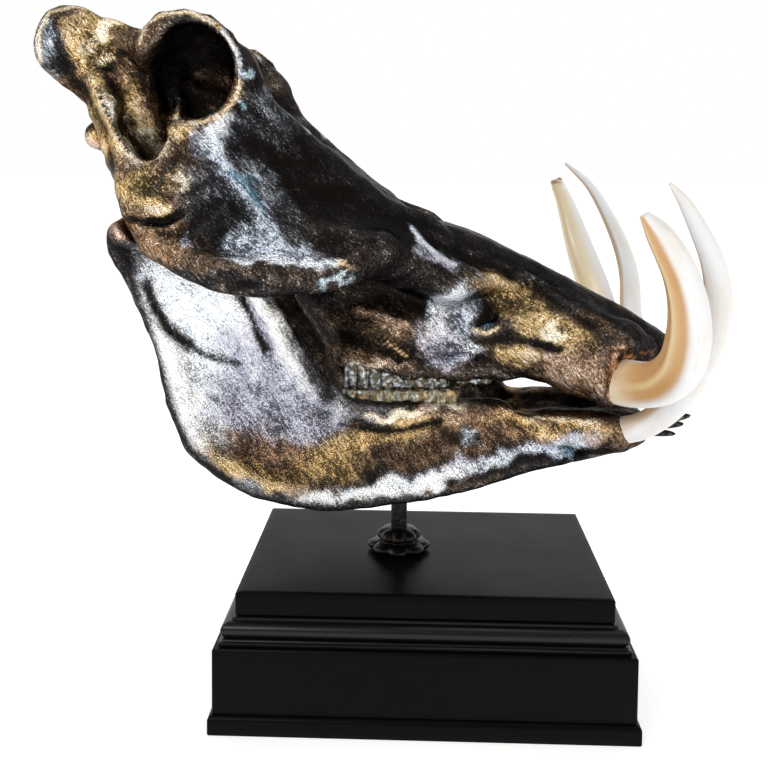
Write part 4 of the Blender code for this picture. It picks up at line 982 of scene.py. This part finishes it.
# Lines of the lower jaw: white and gold are painted highlights on the front edge of the branch and on the
# ridge below the teeth; night is painted shade along the back and lower edges, in the creases and in the
# hole of the chin
MANDIBLE_LINES = [
    ("white", [(292, 292), (306, 326), (326, 362), (345, 386)], 1.6, 0.90),
    ("night", [(126, 250), (140, 300), (158, 360), (176, 424), (190, 452), (226, 482)], 7.0, 0.06),
    ("night", [(149, 284), (158, 310), (172, 330), (190, 344)], 6.0, 0.14),
    ("steel", [(190, 344), (206, 354), (222, 360), (240, 362)], 2.4, 0.34),
    ("night", [(240, 290), (256, 318), (266, 348)], 4.4, 0.08),
    ("violet", [(250, 300), (268, 340)], 2.6, 0.70),
    ("night", [(276, 292), (290, 318), (303, 345), (318, 370), (332, 396)], 6.0, 0.08),
    ("night", [(340, 424), (374, 430), (398, 431), (440, 421)], 2.0, 0.10),
    ("gold", [(500, 408), (550, 418), (600, 424)], 1.8, 0.66),
    ("night", [(222, 486), (270, 504), (330, 510), (420, 500)], 6.0, 0.08),
    ("night", [(477, 438), (477.5, 438.5)], 2.0, 0.0),
]

# Relief in the side view: points, width, height
CRANIUM_STROKES = [
    ([(410, 227), (440, 257), (456, 265)], 3.6, 1.0),
    ([(425, 231), (470, 252), (520, 268), (560, 298), (610, 328), (640, 345)], 3.4, 0.9),
    ([(432, 242), (470, 261), (512, 277), (548, 300), (596, 330)], 2.6, -0.9),
    ([(480, 255), (512, 262), (545, 280), (572, 300)], 1.6, -0.6),
    ([(240, 272), (285, 276), (330, 275), (362, 268)], 4.0, 0.8),
    ([(244, 284), (290, 289), (330, 290)], 4.0, -0.7),
    ([(99, 83), (108, 106), (118, 128), (130, 148), (142, 160)], 2.6, 0.9),
    ([(105, 86), (115, 110), (126, 134), (136, 150)], 1.8, -1.0),
    ([(105, 70), (118, 71)], 1.8, -1.0),
    ([(84, 16), (92, 32), (104, 46)], 4.0, -0.5),
    ([(94, 12), (108, 26), (112, 44)], 3.4, 0.6),
    ([(74, 22), (80, 42), (92, 60)], 4.0, 0.7),
    ([(58, 30), (64, 44), (72, 62)], 7.0, -1.6),
    ([(134, 219), (150, 222), (168, 221), (184, 213)], 3.2, -3.0),
    ([(137, 227), (156, 230), (180, 226)], 3.0, 0.8),
    ([(148, 240), (170, 246)], 6.0, 0.9),
    ([(176, 236), (190, 250)], 5.0, 0.8),
    ([(255, 98), (272, 115), (292, 135)], 4.0, 0.7),
    ([(249, 79), (250, 82)], 3.0, -1.5),
    ([(241, 103), (243, 106)], 3.6, -1.8),
    ([(216, 128), (224, 152), (240, 182), (262, 216)], 4.0, 0.7),
    ([(206, 150), (226, 190), (252, 226)], 4.0, -0.6),
    ([(240, 150), (262, 190), (292, 226)], 5.0, -0.5),
    ([(176, 176), (196, 178)], 5.0, 0.7),
    ([(478, 321), (491, 316)], 5.0, -4.0),
    ([(474, 328), (487, 332), (498, 327)], 2.2, 1.0),
    ([(500, 350), (524, 350)], 7.0, 0.9),
    ([(524, 342), (558, 348)], 5.0, -1.3),
    ([(436, 300), (446, 330), (462, 356)], 3.0, 0.5),
    ([(424, 306), (434, 336), (448, 360)], 2.6, -0.5),
    ([(357, 306), (386, 314), (416, 326)], 3.6, 0.9),
    ([(388, 342), (407, 355)], 2.2, 0.7),
    ([(384, 348), (400, 361)], 2.2, -0.7),
    ([(358, 362), (392, 368), (440, 372)], 3.0, 0.8),
    ([(492, 372), (547, 392), (600, 402)], 3.0, 0.7),
    ([(616, 364), (612, 380), (617, 398)], 3.0, 0.8),
]
MANDIBLE_STROKES = [
    ([(150, 290), (168, 322), (196, 348), (240, 362)], 5.0, -0.9),
    ([(146, 300), (162, 336), (184, 372), (198, 408)], 5.0, 0.5),
    ([(240, 290), (252, 312), (262, 332), (270, 352)], 5.0, -1.3),
    ([(228, 300), (240, 326), (252, 350)], 5.0, 0.6),
    ([(268, 292), (282, 319), (296, 346), (312, 372), (326, 398)], 4.6, -1.5),
    ([(280, 290), (298, 326), (320, 364), (342, 392)], 3.4, 1.1),
    ([(345, 418), (374, 428), (400, 430), (440, 421)], 4.6, -1.3),
    ([(350, 404), (400, 408), (455, 404)], 4.0, 0.9),
    ([(460, 398), (480, 396)], 5.0, 0.9),
    ([(480, 404), (520, 412), (560, 418), (600, 420)], 3.4, 0.9),
    ([(490, 418), (540, 428), (590, 430)], 4.0, -0.7),
    ([(477, 437), (477.5, 440)], 2.8, -2.2),
    ([(562, 449), (567, 449)], 3.0, -1.2),
    ([(200, 456), (260, 484), (330, 496)], 5.0, 0.7),
]


def flecks_and_painted_light(v, normal, hollow, areas, lines, seed):
    """Colour of the bright flecks, and their share of the surface, at each vertex, painted highlights,
    reflections and shade included.

    Every area and line lays its own colour and share over those before it, its border shifted by lumps.
    Ridges get more flecks, and hollows fewer as painted shade."""
    u, w = side_view(v)
    wavy_u = u + lumps(v, BROAD_WAVE, seed) * BROAD_SHIFT + lumps(v, FINE_WAVE, seed + 1) * FINE_SHIFT
    wavy_w = w + lumps(v, BROAD_WAVE, seed + 2) * BROAD_SHIFT + lumps(v, FINE_WAVE, seed + 3) * FINE_SHIFT
    outer = np.clip(facing(v, normal) * 2 + 1.1, 0, 1)
    tint = np.repeat(np.array([INNER_TINT]), len(v), 0)
    cover = np.full(len(v), INNER_SHARE)
    drawn = []
    for name, centre, radii, turn, share in areas:
        drawn.append((name, spot(wavy_u, wavy_w, centre, radii, turn), share))
    for name, points, width, share in lines:
        drawn.append((name, stroke(u, w, points, width), share))
    for name, mask, share in drawn:
        mask = mask * outer
        tint += mask[:, None] * (np.array(COLOURS[name]) - tint)
        cover += mask * (share - cover)
    gain = np.clip(-hollow * RIDGE_GAIN, 0, RIDGE_MOST)
    hollow_shade = np.clip(hollow * HOLLOW_SHADE_LOSS, 0, HOLLOW_SHADE_MOST)
    return tint, np.clip(cover + gain - hollow_shade + lumps(v, CLOUD_SIZE, seed + 4) * CLOUD_SHARE, 0, 1)


def coat(lean, combed):
    """Glossy metallic coat: specks and leaning streaks of the vertex tint, which holds painted highlights
    and shade, over a brown-black ground.

    A speck shows where the share of flecks plus fine noise passes a threshold."""
    s = Shader("metallic_coat", Coat_Weight=0.04, Coat_Roughness=0.14, Specular_Tint=(0.30, 0.28, 0.27, 1))
    tint, cover = s.attribute("tint", "Color"), s.attribute("cover", "Fac")
    grain = s.noise(1450, 2.0)
    streak = s.noise(800, 3.0, 3.0, lean)
    cloud = s.noise(120, 4.0, 1.8, lean)
    level = cover + (grain - 0.5) * GRAIN_WEIGHT + (streak - 0.5) * combed + (cloud - 0.5) * CLOUD_WEIGHT
    fleck = s.steps(level, FLECK_FROM, FLECK_FULL)
    spark = s.steps(level, SPARK_FROM, SPARK_FULL)
    ground = s.mixed(0.995 - cover * 0.20, tint, GROUND_COLOUR)
    colour = s.mixed(fleck, ground, tint)
    s.into("Base Color", s.mixed(spark * 0.60, colour, SPARK_COLOUR))
    s.into("Metallic", 0.9 + fleck * 0.1)
    s.into("Roughness", 0.27 - fleck * 0.05 + (s.noise(260, 2.0) - 0.5) * 0.20)
    fine = s.bump(grain + streak, 0.0006, 0.8)
    middle = s.bump(s.noise(330, 3.0, 2.0, lean), 0.0014, 0.50, fine)
    s.into("Normal", s.bump(s.noise(95, 3.0, 1.4, lean), 0.0036, 0.42, middle))
    return s.material


def ivory():
    """Tusk ivory: the vertex tint, a little darker in clouds, with a fine uneven surface."""
    s = Shader("tusk_ivory", Coat_Weight=0.2, Coat_Roughness=0.12)
    tint, lines = s.attribute("tint", "Color"), s.attribute("lines", "Fac")
    stain = s.steps(s.noise(42, 4.0, 2.5, 1.2) + lines * 0.10, 0.48, 0.70)
    s.into("Base Color", s.mixed(stain * 0.30, tint, (0.86, 0.70, 0.50, 1), "MULTIPLY"))
    s.into("Roughness", s.noise(140, 2.0) * 0.2 + 0.24)
    s.into("Normal", s.bump(lines * 0.4 + s.noise(160, 3.0), 0.0004, 0.25))
    return s.material


def enamel(name, light, dark, gold):
    """Metal-coated teeth: two tones in small clouds, gold where they are worn."""
    light, dark, gold = (*light, 1), (*dark, 1), (*gold, 1)
    s = Shader(name, Metallic=0.95)
    tone = s.mixed(s.steps(s.noise(420, 4.0), 0.46, 0.64), dark, light)
    s.into("Base Color", s.mixed(s.steps(s.noise(150, 4.0), 0.58, 0.68) * 0.7, tone, gold))
    s.into("Roughness", s.noise(300, 2.0) * 0.3 + 0.16)
    s.into("Normal", s.bump(s.noise(700, 3.0), 0.0007, 0.7))
    return s.material


def black_paint(name, gloss):
    """Satin black paint with fine pits and soft brush waves."""
    s = Shader(name, Base_Color=(0.0032, 0.0030, 0.0030, 1), Specular_IOR_Level=gloss)
    s.into("Roughness", s.noise(38, 3.0) * 0.18 + 0.24)
    pits = s.steps(s.noise(520, 1.0), 0.68, 0.75)
    s.into("Normal", s.bump(s.noise(90, 2.0, 3.0) * 0.3 - pits, 0.0003, 0.35))
    return s.material


def dark_metal():
    """Blackened metal with a cast surface, browner in places."""
    s = Shader("blackened_metal", Metallic=0.9)
    rubbed = s.steps(s.noise(240, 3.0), 0.52, 0.66)
    s.into("Base Color", s.mixed(rubbed * 0.5, (0.022, 0.022, 0.024, 1), (0.10, 0.08, 0.065, 1)))
    s.into("Roughness", s.noise(180, 2.0) * 0.3 + 0.22)
    s.into("Normal", s.bump(s.noise(500, 3.0), 0.0008, 0.6))
    return s.material


def carved(v, normal, strokes):
    """Moves the vertices of the outer side along their normals by the heights of the drawn lines."""
    u, w = side_view(v)
    outer = np.clip((facing(v, normal) - 0.1) * 3, 0, 1)
    height = sum(stroke(u, w, points, width) * rise for points, width, rise in strokes)
    return v + normal * (height * outer)[:, None]


def bones():
    """Cranium and mandible: contoured, carved with the drawn lines, made uneven and coloured, with painted
    highlights and shade in the colour.
    """
    for name, form, low, high, cell, strokes, areas, lines, lean, combed, seed in (
        ("cranium", cranium, (-219, 0, 160), (165, 126, 394), CRANIUM_CELL,
         CRANIUM_STROKES, CRANIUM_AREAS, CRANIUM_LINES, 0.85, 1.7, 5),
        ("mandible", mandible, (-180, 0, 104), (142, 108, 284), MANDIBLE_CELL,
         MANDIBLE_STROKES, MANDIBLE_AREAS, MANDIBLE_LINES, 1.0, 1.2, 19),
    ):
        v, faces, normal = bone_surface(form, low, high, cell)
        v = carved(v, normal, strokes)
        uneven = sum(lumps(v, size, seed + n) * height for n, (size, height) in enumerate(UNEVENNESS))
        v = v + normal * uneven[:, None]
        hollow = hollowness(v, faces, normal, HOLLOW_ROUNDS) / cell
        tint, cover = flecks_and_painted_light(v, normal, hollow * HOLLOW_SCALE, areas, lines, seed)
        add_piece(name + "_skin", v, faces.tolist(), coat(lean, combed), [name],
                  {"tint": tint, "cover": cover})


def swept(stations, side, steps, around, profile):
    """An oval section carried along a tusk's curve, its radius times profile(share, angle).

    Angle 0 is on the concave side of the curve. Returns the rings of points and both parameters."""
    given = np.array(stations, float)
    share = np.linspace(0, 1, steps) ** 0.9
    path = spline(np.column_stack([np.arange(len(given)), given]), share * (len(given) - 1))
    centre = path[:, :3] * (1, side, 1)
    ahead = unit(np.gradient(centre, axis=0))
    flat = np.array(TUSK_PLANE) * (1, -side, 1)
    across = unit(flat - (ahead @ flat)[:, None] * ahead)
    inward = np.cross(across, ahead) * side
    angle = 2 * math.pi * np.arange(around) / around
    scale = profile(share[:, None], angle[None])
    v = (
        centre[:, None]
        + inward[:, None] * (path[:, 3, None] * np.cos(angle) * scale)[..., None]
        + across[:, None] * (path[:, 4, None] * np.sin(angle) * scale)[..., None]
    )
    return v, share[:, None], angle[None]


def closed_tube(rings):
    """Vertices and faces of stacked rings, closed with a middle point at each end, turned outwards.

    The sign of the volume under the faces, summed over their triangles, tells which way they point."""
    rows, around = rings.shape[:2]
    v = np.concatenate([rings.reshape(-1, 3), rings[0].mean(0)[None], rings[-1].mean(0)[None]])
    row, k = np.meshgrid(np.arange(rows - 1), np.arange(around), indexing="ij")
    a, b = row * around + k, row * around + (k + 1) % around
    quads = np.stack([a, b, b + around, a + around], -1).reshape(-1, 4)
    k, last = np.arange(around), (rows - 1) * around
    ends = np.concatenate([
        np.stack([np.full(around, rows * around), (k + 1) % around, k], 1),
        np.stack([np.full(around, rows * around + 1), last + k, last + (k + 1) % around], 1),
    ])
    triangles = np.concatenate([ends, quads[:, :3], quads[:, [0, 2, 3]]])
    p, q, r = (v[triangles[:, n]] for n in range(3))
    if np.einsum("ij,ij->", p, np.cross(q, r)) < 0:
        quads, ends = quads[:, ::-1], ends[:, ::-1]
    return v, quads.tolist() + ends.tolist()


def add_tube(name, rings, material, node, attributes=None):
    """A piece from stacked rings; attributes are given per ring point and averaged at the end points."""
    v, faces = closed_tube(rings)
    whole = {}
    for label, values in (attributes or {}).items():
        points = values.reshape(-1, *values.shape[2:])
        whole[label] = np.concatenate([points, [values[0].mean(0)], [values[-1].mean(0)]])
    return add_piece(name, v, faces, material, [node], whole)


# Colours of the tusks
WHITE = np.array((0.77, 0.785, 0.81))
CREAM = np.array((0.84, 0.70, 0.44))
TAN = np.array((0.56, 0.33, 0.145))
TIP_BROWN = np.array((0.30, 0.17, 0.07))


def towards(tint, share, colour):
    """A colour moved to another one by a share at each point."""
    return tint + share[..., None] * (colour - tint)


def bell(angle, middle, width):
    """1 at an angle around the tusk, falling off as a bell curve."""
    gap = (angle - middle + math.pi) % (2 * math.pi) - math.pi
    return np.exp(-((gap / width) ** 2))


def band(angle, middle, half, soft):
    """1 within a half width of an angle around the tusk and 0 outside it, with a smooth border."""
    gap = np.abs((angle - middle + math.pi) % (2 * math.pi) - math.pi)
    t = np.clip((half + soft - gap) / (2 * soft), 0, 1)
    return t * t * (3 - 2 * t)


def upper_tusk(label, side, stations, material):
    """White outside, with a broad tan face towards the snout, a pale ridge in it and a creamy root."""
    def hollow_face(share, angle):
        """Two shallow grooves along the tan face, and knobs at the broken tip of the left tusk."""
        along = np.clip(share * 6 - 1.2, 0, 1) * np.clip(4 - 4 * share, 0, 1)
        knobs = 0.10 * np.sin(angle * 4 + share * 70) * np.clip(share * 16 - 14.4, 0, 1) * (label == "left")
        grooves = 0.12 * bell(angle, *NEAR_GROOVE) + 0.10 * bell(angle, *FAR_GROOVE)
        return 1 + knobs - grooves * along

    v, share, angle = swept(stations, side, TUSK_STEPS, UPPER_AROUND, hollow_face)
    face = band(angle, *TAN_FACE) * np.clip(share * 5 - 0.3, 0, 1)
    ridge = bell(angle, *PALE_RIDGE) * np.clip(share * 6 - 1, 0, 1)
    root = np.clip(1.9 - share * 7, 0, 1) + 0 * angle
    tint = towards(np.broadcast_to(WHITE, (*face.shape, 3)), face, TAN)
    tint = towards(towards(tint, ridge * 0.7, CREAM), root * 0.75, CREAM)
    if label == "left":
        broken = np.clip(share * 16 - 14.2, 0, 1) * (0.75 + 0.25 * np.sin(angle * 3 + share * 60))
        stained = band(angle, *STAINED_FACE) * 0.85 + 0 * share
        tint = towards(towards(tint, stained, CREAM), broken, TIP_BROWN)
    lines = 0.5 + 0.5 * np.sin(angle * 23 + 1.5 * np.sin(share * 9)) * np.clip(3 - 3 * share, 0, 1)
    add_tube(f"upper_tusk_{label}_ivory", v, material, "upper_tusk_" + label,
             {"tint": tint, "lines": lines})


def lower_tusk(label, side, stations, material):
    """White, tan along the concave edge and orange where it comes out of the jaw."""
    def round_oval(share, angle):
        """The same radius at every point."""
        return 1 + 0 * share * angle

    v, share, angle = swept(stations, side, TUSK_STEPS, LOWER_AROUND, round_oval)
    edge = band(angle, *TAN_EDGE) * np.clip(share * 4 - 0.4, 0, 1) * 0.85
    root = band(angle, *TAN_ROOT) * np.clip(2.2 - share * 8, 0, 1) * 0.8
    tint = towards(np.broadcast_to(WHITE, (*edge.shape, 3)), edge, TAN)
    tint = towards(tint, root, TAN)
    lines = 0.5 + 0.5 * np.sin(angle * 19) * np.clip(3 - 3 * share, 0, 1)
    add_tube(f"lower_tusk_{label}_ivory", v, material, "lower_tusk_" + label,
             {"tint": tint, "lines": lines})


def tusks():
    """Both pairs of tusks."""
    material = ivory()
    upper_tusk("right", -1, UPPER_TUSK_RIGHT, material)
    upper_tusk("left", 1, UPPER_TUSK_LEFT, material)
    lower_tusk("right", -1, LOWER_TUSK_RIGHT, material)
    lower_tusk("left", 1, LOWER_TUSK_LEFT, material)


def tooth_rings(spec, side, biting):
    """A row of joined columns: an outline whose half width swells at each column, carried up the tooth.

    The crown narrows a little at the biting end, which is 1 for the top and -1 for the underside."""
    rear, front, y_rear, y_front, bottom, top, half, ribs = spec
    share = np.linspace(0, 1, ribs * TOOTH_STEPS)
    column = np.abs(np.sin(math.pi * ribs * share)) ** 0.6
    ends = np.sqrt(np.clip(1 - np.abs(2 * share - 1) ** 14, 0, 1))
    level = np.linspace(0, 1, TOOTH_LEVELS)[:, None]
    crown = level if biting > 0 else 1 - level
    narrow = 1 - 0.18 * np.clip(crown - 0.80, 0, 1) / 0.20
    width = half * ends * (0.70 + 0.30 * column) * narrow + 0.25
    along = np.broadcast_to(rear + (front - rear) * (0.0025 + 0.995 * share), width.shape)
    middle = y_rear + (y_front - y_rear) * share
    wear = 0.35 * np.sin(2 * math.pi * ribs * share) * (crown > 0.95)
    z = bottom + (top - bottom) * level + wear
    outer = np.stack([along, (middle + width) * side, z], -1)
    inner = np.stack([along, (middle - width) * side, z], -1)[:, ::-1]
    return np.concatenate([outer, inner], 1)


def peg_rings(root, tip, radius, side):
    """A round peg from root to tip that thins and closes in a blunt end."""
    share = np.linspace(0, 1, PEG_STEPS)[:, None, None]
    size = radius * (1.02 - 0.35 * share**2) * np.sqrt(1 - share**8) + 0.02
    start, end = np.array(root) * (1, side, 1), np.array(tip) * (1, side, 1)
    ahead = unit(end - start)
    across = unit(np.cross(ahead, (0, 0, 1)))
    up = np.cross(across, ahead)
    angle = 2 * math.pi * np.arange(PEG_AROUND)[:, None] / PEG_AROUND
    return start + (end - start) * share + (across * np.cos(angle) + up * np.sin(angle)) * size


def teeth():
    """Cheek teeth and lower incisors of both sides."""
    cheek_enamel = enamel("cheek_enamel", (0.50, 0.56, 0.62), (0.09, 0.08, 0.055), (0.50, 0.34, 0.15))
    worn_enamel = enamel("worn_enamel", (0.46, 0.50, 0.48), (0.20, 0.15, 0.08), (0.74, 0.50, 0.20))
    peg_enamel = enamel("peg_enamel", (0.10, 0.10, 0.11), (0.02, 0.018, 0.018), (0.20, 0.12, 0.06))
    rows = (
        ("upper_molar", UPPER_MOLAR, -1, cheek_enamel),
        ("upper_premolar", UPPER_PREMOLAR, -1, cheek_enamel),
        ("lower_molar", LOWER_MOLAR, 1, worn_enamel),
    )
    for label, side in (("right", -1), ("left", 1)):
        for name, spec, biting, coated in rows:
            node = f"{name}_{label}"
            add_tube(node + "_enamel", tooth_rings(spec, side, biting), coated, node)
        for number, (root, tip, radius) in enumerate(INCISORS, 1):
            node = f"lower_incisor_{label}_{number}"
            add_tube(node + "_enamel", peg_rings(root, tip, radius, side), peg_enamel, node)


def board(name, half, rows, material, node):
    """A board: a rectangle with rounded upright corners, carried up through rows of (outset, level)."""
    outset, level = np.array(rows, float).T[:, :, None]
    turn = np.radians(np.linspace(0, 90, CORNER_STEPS))
    angle = np.concatenate([turn + quarter * math.pi / 2 for quarter in range(4)])
    ways = np.repeat([(1, 1), (-1, 1), (-1, -1), (1, -1)], CORNER_STEPS, 0)
    x = ways[:, 0] * (half[0] + outset - BOARD_CORNER) + BOARD_CORNER * np.cos(angle)
    y = ways[:, 1] * (half[1] + outset - BOARD_CORNER) + BOARD_CORNER * np.sin(angle)
    rings = np.stack([x, y, np.broadcast_to(level, x.shape)], -1)
    made = add_tube(name, rings, material, node)
    made.data.set_sharp_from_angle(angle=SHARP_ANGLE)


def arc_rows(outset, level, radius, start, end, steps):
    """Points of a rounded edge as (outset, level), angles in degrees from the horizontal."""
    angles = np.radians(np.linspace(start, end, steps))
    return [(outset + radius * math.cos(a), level + radius * math.sin(a)) for a in angles]


def stand():
    """Foot board, body block, moulding and top board of the plinth."""
    paint = black_paint("satin_black", 0.055)
    rubbed = black_paint("rubbed_black", 0.32)
    lip = 3.2
    board("foot_board", FOOT_HALF, [
        (-1.0, 0.0), (-0.3, 0.1), (0, 0.6), *arc_rows(-lip, FOOT_TOP - GAP - lip, lip, 0, 90, 10),
        (-lip - 2, FOOT_TOP - GAP),
    ], paint, "plinth_foot")
    board("body_block", BODY_HALF, [
        (-0.7, FOOT_TOP), (-0.5, FOOT_TOP + 0.4), (-0.5, BODY_TOP - 1.6), (-0.7, BODY_TOP - 1.0),
        (-1.3, BODY_TOP - GAP), (-3.0, BODY_TOP - GAP),
    ], paint, "plinth_body")
    base = BODY_TOP
    board("moulding_ring", (BODY_HALF[0] - 3.4, BODY_HALF[1] - 3.4), [
        (-0.3, base), (0, base + 0.3), (0.2, base + 1.6), (-0.2, base + 2.0), (-1.4, base + 2.2),
        (-1.7, base + 2.8), (-1.6, base + 3.3), *arc_rows(-5.2, base + 7.4, 4.4, -62, 78, 18),
        (-4.7, base + 11.7), (-6.2, base + 11.9), (-6.3, base + 12.3), (-6.2, base + 13.5 - GAP),
        (-8, base + 13.5 - GAP),
    ], rubbed, "plinth_moulding")
    board("top_board", TOP_HALF, [
        (-1.5, MOULDING_TOP), (-0.5, MOULDING_TOP + 0.1), (0, MOULDING_TOP + 0.6), (0, PLINTH_TOP - 1.0),
        (-0.3, PLINTH_TOP - 0.3), (-1.0, PLINTH_TOP), (-4, PLINTH_TOP),
    ], paint, "plinth_top")


def turned(rows, petal):
    """Rings about the post's axis: rows of (radius, level, depth of the petals) by the petals' outline."""
    radius, level, depth = np.array(rows, float).T[:, :, None]
    angle = 2 * math.pi * np.arange(len(petal)) / len(petal)
    r = radius - np.maximum(depth, 0) * (1 - petal)
    return np.stack([POST_X + r * np.cos(angle), r * np.sin(angle), np.broadcast_to(level, r.shape)], -1)


def holder():
    """The post, and the two tiers of petals around its foot."""
    metal = dark_metal()
    low = PLINTH_TOP + GAP
    rows = [
        (0.05, low, 0), (POST_RADIUS, low, 0), (POST_RADIUS, POST_MIDDLE, 0), (POST_RADIUS, POST_END, 0),
        (0.05, POST_END, 0),
    ]
    made = add_tube("post_rod", turned(rows, np.ones(POST_AROUND)), metal, "post")
    made.data.set_sharp_from_angle(angle=SHARP_ANGLE)
    last = len(COLLAR) - 1
    fine = spline(COLLAR, np.linspace(0, last, last * COLLAR_STEPS + 1))
    fine[:, 0] = np.maximum(fine[:, 0], COLLAR_BORE)
    fine[:, 1] = low + np.clip(fine[:, 1], 0, COLLAR_HEIGHT)
    around = COLLAR_PETALS * PETAL_STEPS
    petal = np.abs(np.cos(math.pi * COLLAR_PETALS * np.arange(around) / around)) ** 0.8
    add_tube("collar_petals", turned(fine, petal), metal, "post_collar")


FLOOR_HALF = 60.0  # in metres, so that its edge stays out of sight


def add_floor():
    """A plain white floor."""
    mesh = bpy.data.meshes.new("floor")
    corners = [(x * FLOOR_HALF, y * FLOOR_HALF, 0) for x, y in ((-1, -1), (1, -1), (1, 1), (-1, 1))]
    mesh.from_pydata(corners, [], [(0, 1, 2, 3)])
    floor = bpy.data.objects.new("floor", mesh)
    bpy.context.scene.collection.objects.link(floor)
    glow = {"Emission_Color": (1, 1, 1, 1), "Emission_Strength": 0.55}
    paint = Shader("pale_floor", Base_Color=(0.8, 0.8, 0.8, 1), Roughness=0.8, **glow)
    mesh.materials.append(paint.material)


# Lamps, in metres and watts: name, place, point it is turned to, width and height, power, colour
LAMPS = [
    ("window", (-0.7, -1.1, 1.1), (-0.05, 0, 0.25), (0.5, 0.5), 7.5, (0.90, 0.95, 1.0)),
    ("lamp_left", (-1.3, -0.5, 0.55), (-0.1, 0, 0.3), (0.25, 0.5), 2.8, (1.0, 0.84, 0.60)),
    ("lamp_right", (1.0, -1.0, 0.35), (0.05, 0, 0.22), (0.3, 0.5), 3.6, (1.0, 0.86, 0.64)),
    ("ceiling", (0.1, 0.2, 1.7), (0, 0, 0.2), (1.0, 0.5), 5, (1, 1, 1)),
]
# Brightness of the studio in front and behind, and the directions along Y between which it changes
STUDIO = {"From Min": -0.7, "From Max": 0.5, "To Min": 0.26, "To Max": 1.0}


def area_light(name, place, aim, size, power, colour):
    """A soft rectangular light at a place, turned to a point."""
    data = bpy.data.lights.new(name, "AREA")
    data.shape = "RECTANGLE"
    data.size, data.size_y = size
    data.energy = power
    data.color = colour
    made = bpy.data.objects.new(name, data)
    bpy.context.scene.collection.objects.link(made)
    made.location = place
    made.rotation_euler = (Vector(aim) - Vector(place)).to_track_quat("-Z", "Y").to_euler()


def add_light():
    """A white studio whose front is dimmer than its back, and soft lamps."""
    world = bpy.data.worlds.new("studio")
    bpy.context.scene.world = world
    world.use_nodes = True
    tree = world.node_tree
    way = tree.nodes.new("ShaderNodeSeparateXYZ")
    tree.links.new(tree.nodes.new("ShaderNodeTexCoord").outputs["Generated"], way.inputs[0])
    level = tree.nodes.new("ShaderNodeMapRange")
    level.interpolation_type = "SMOOTHSTEP"
    for label, value in STUDIO.items():
        level.inputs[label].default_value = value
    tree.links.new(way.outputs["Y"], level.inputs["Value"])
    tree.nodes["Background"].inputs["Color"].default_value = (1, 1, 1, 1)
    tree.links.new(level.outputs[0], tree.nodes["Background"].inputs["Strength"])
    for lamp in LAMPS:
        area_light(*lamp)
    bpy.context.scene.view_settings.view_transform = "Standard"


def add_camera():
    """A camera beside the viewpoint of the side view, dipped towards the skull."""
    data = bpy.data.cameras.new("camera")
    data.sensor_width = 36.0
    data.lens = CAMERA_FOCAL * data.sensor_width / IMAGE
    data.shift_x = (IMAGE / 2 - CENTRE_X) / IMAGE
    data.shift_y = -CAMERA_RISE / IMAGE
    data.clip_start = 0.01
    made = bpy.data.objects.new("camera", data)
    bpy.context.scene.collection.objects.link(made)
    made.matrix_world = (
        Matrix.Translation([c * MM for c in CAMERA_PLACE]) @ Matrix.Rotation(CAMERA_YAW, 4, "Z")
        @ Matrix.Rotation(math.pi / 2 - CAMERA_DIP, 4, "X") @ Matrix.Rotation(CAMERA_ROLL, 4, "Z")
    )
    bpy.context.scene.camera = made


bones()
tusks()
teeth()
stand()
holder()
add_floor()
add_light()
add_camera()
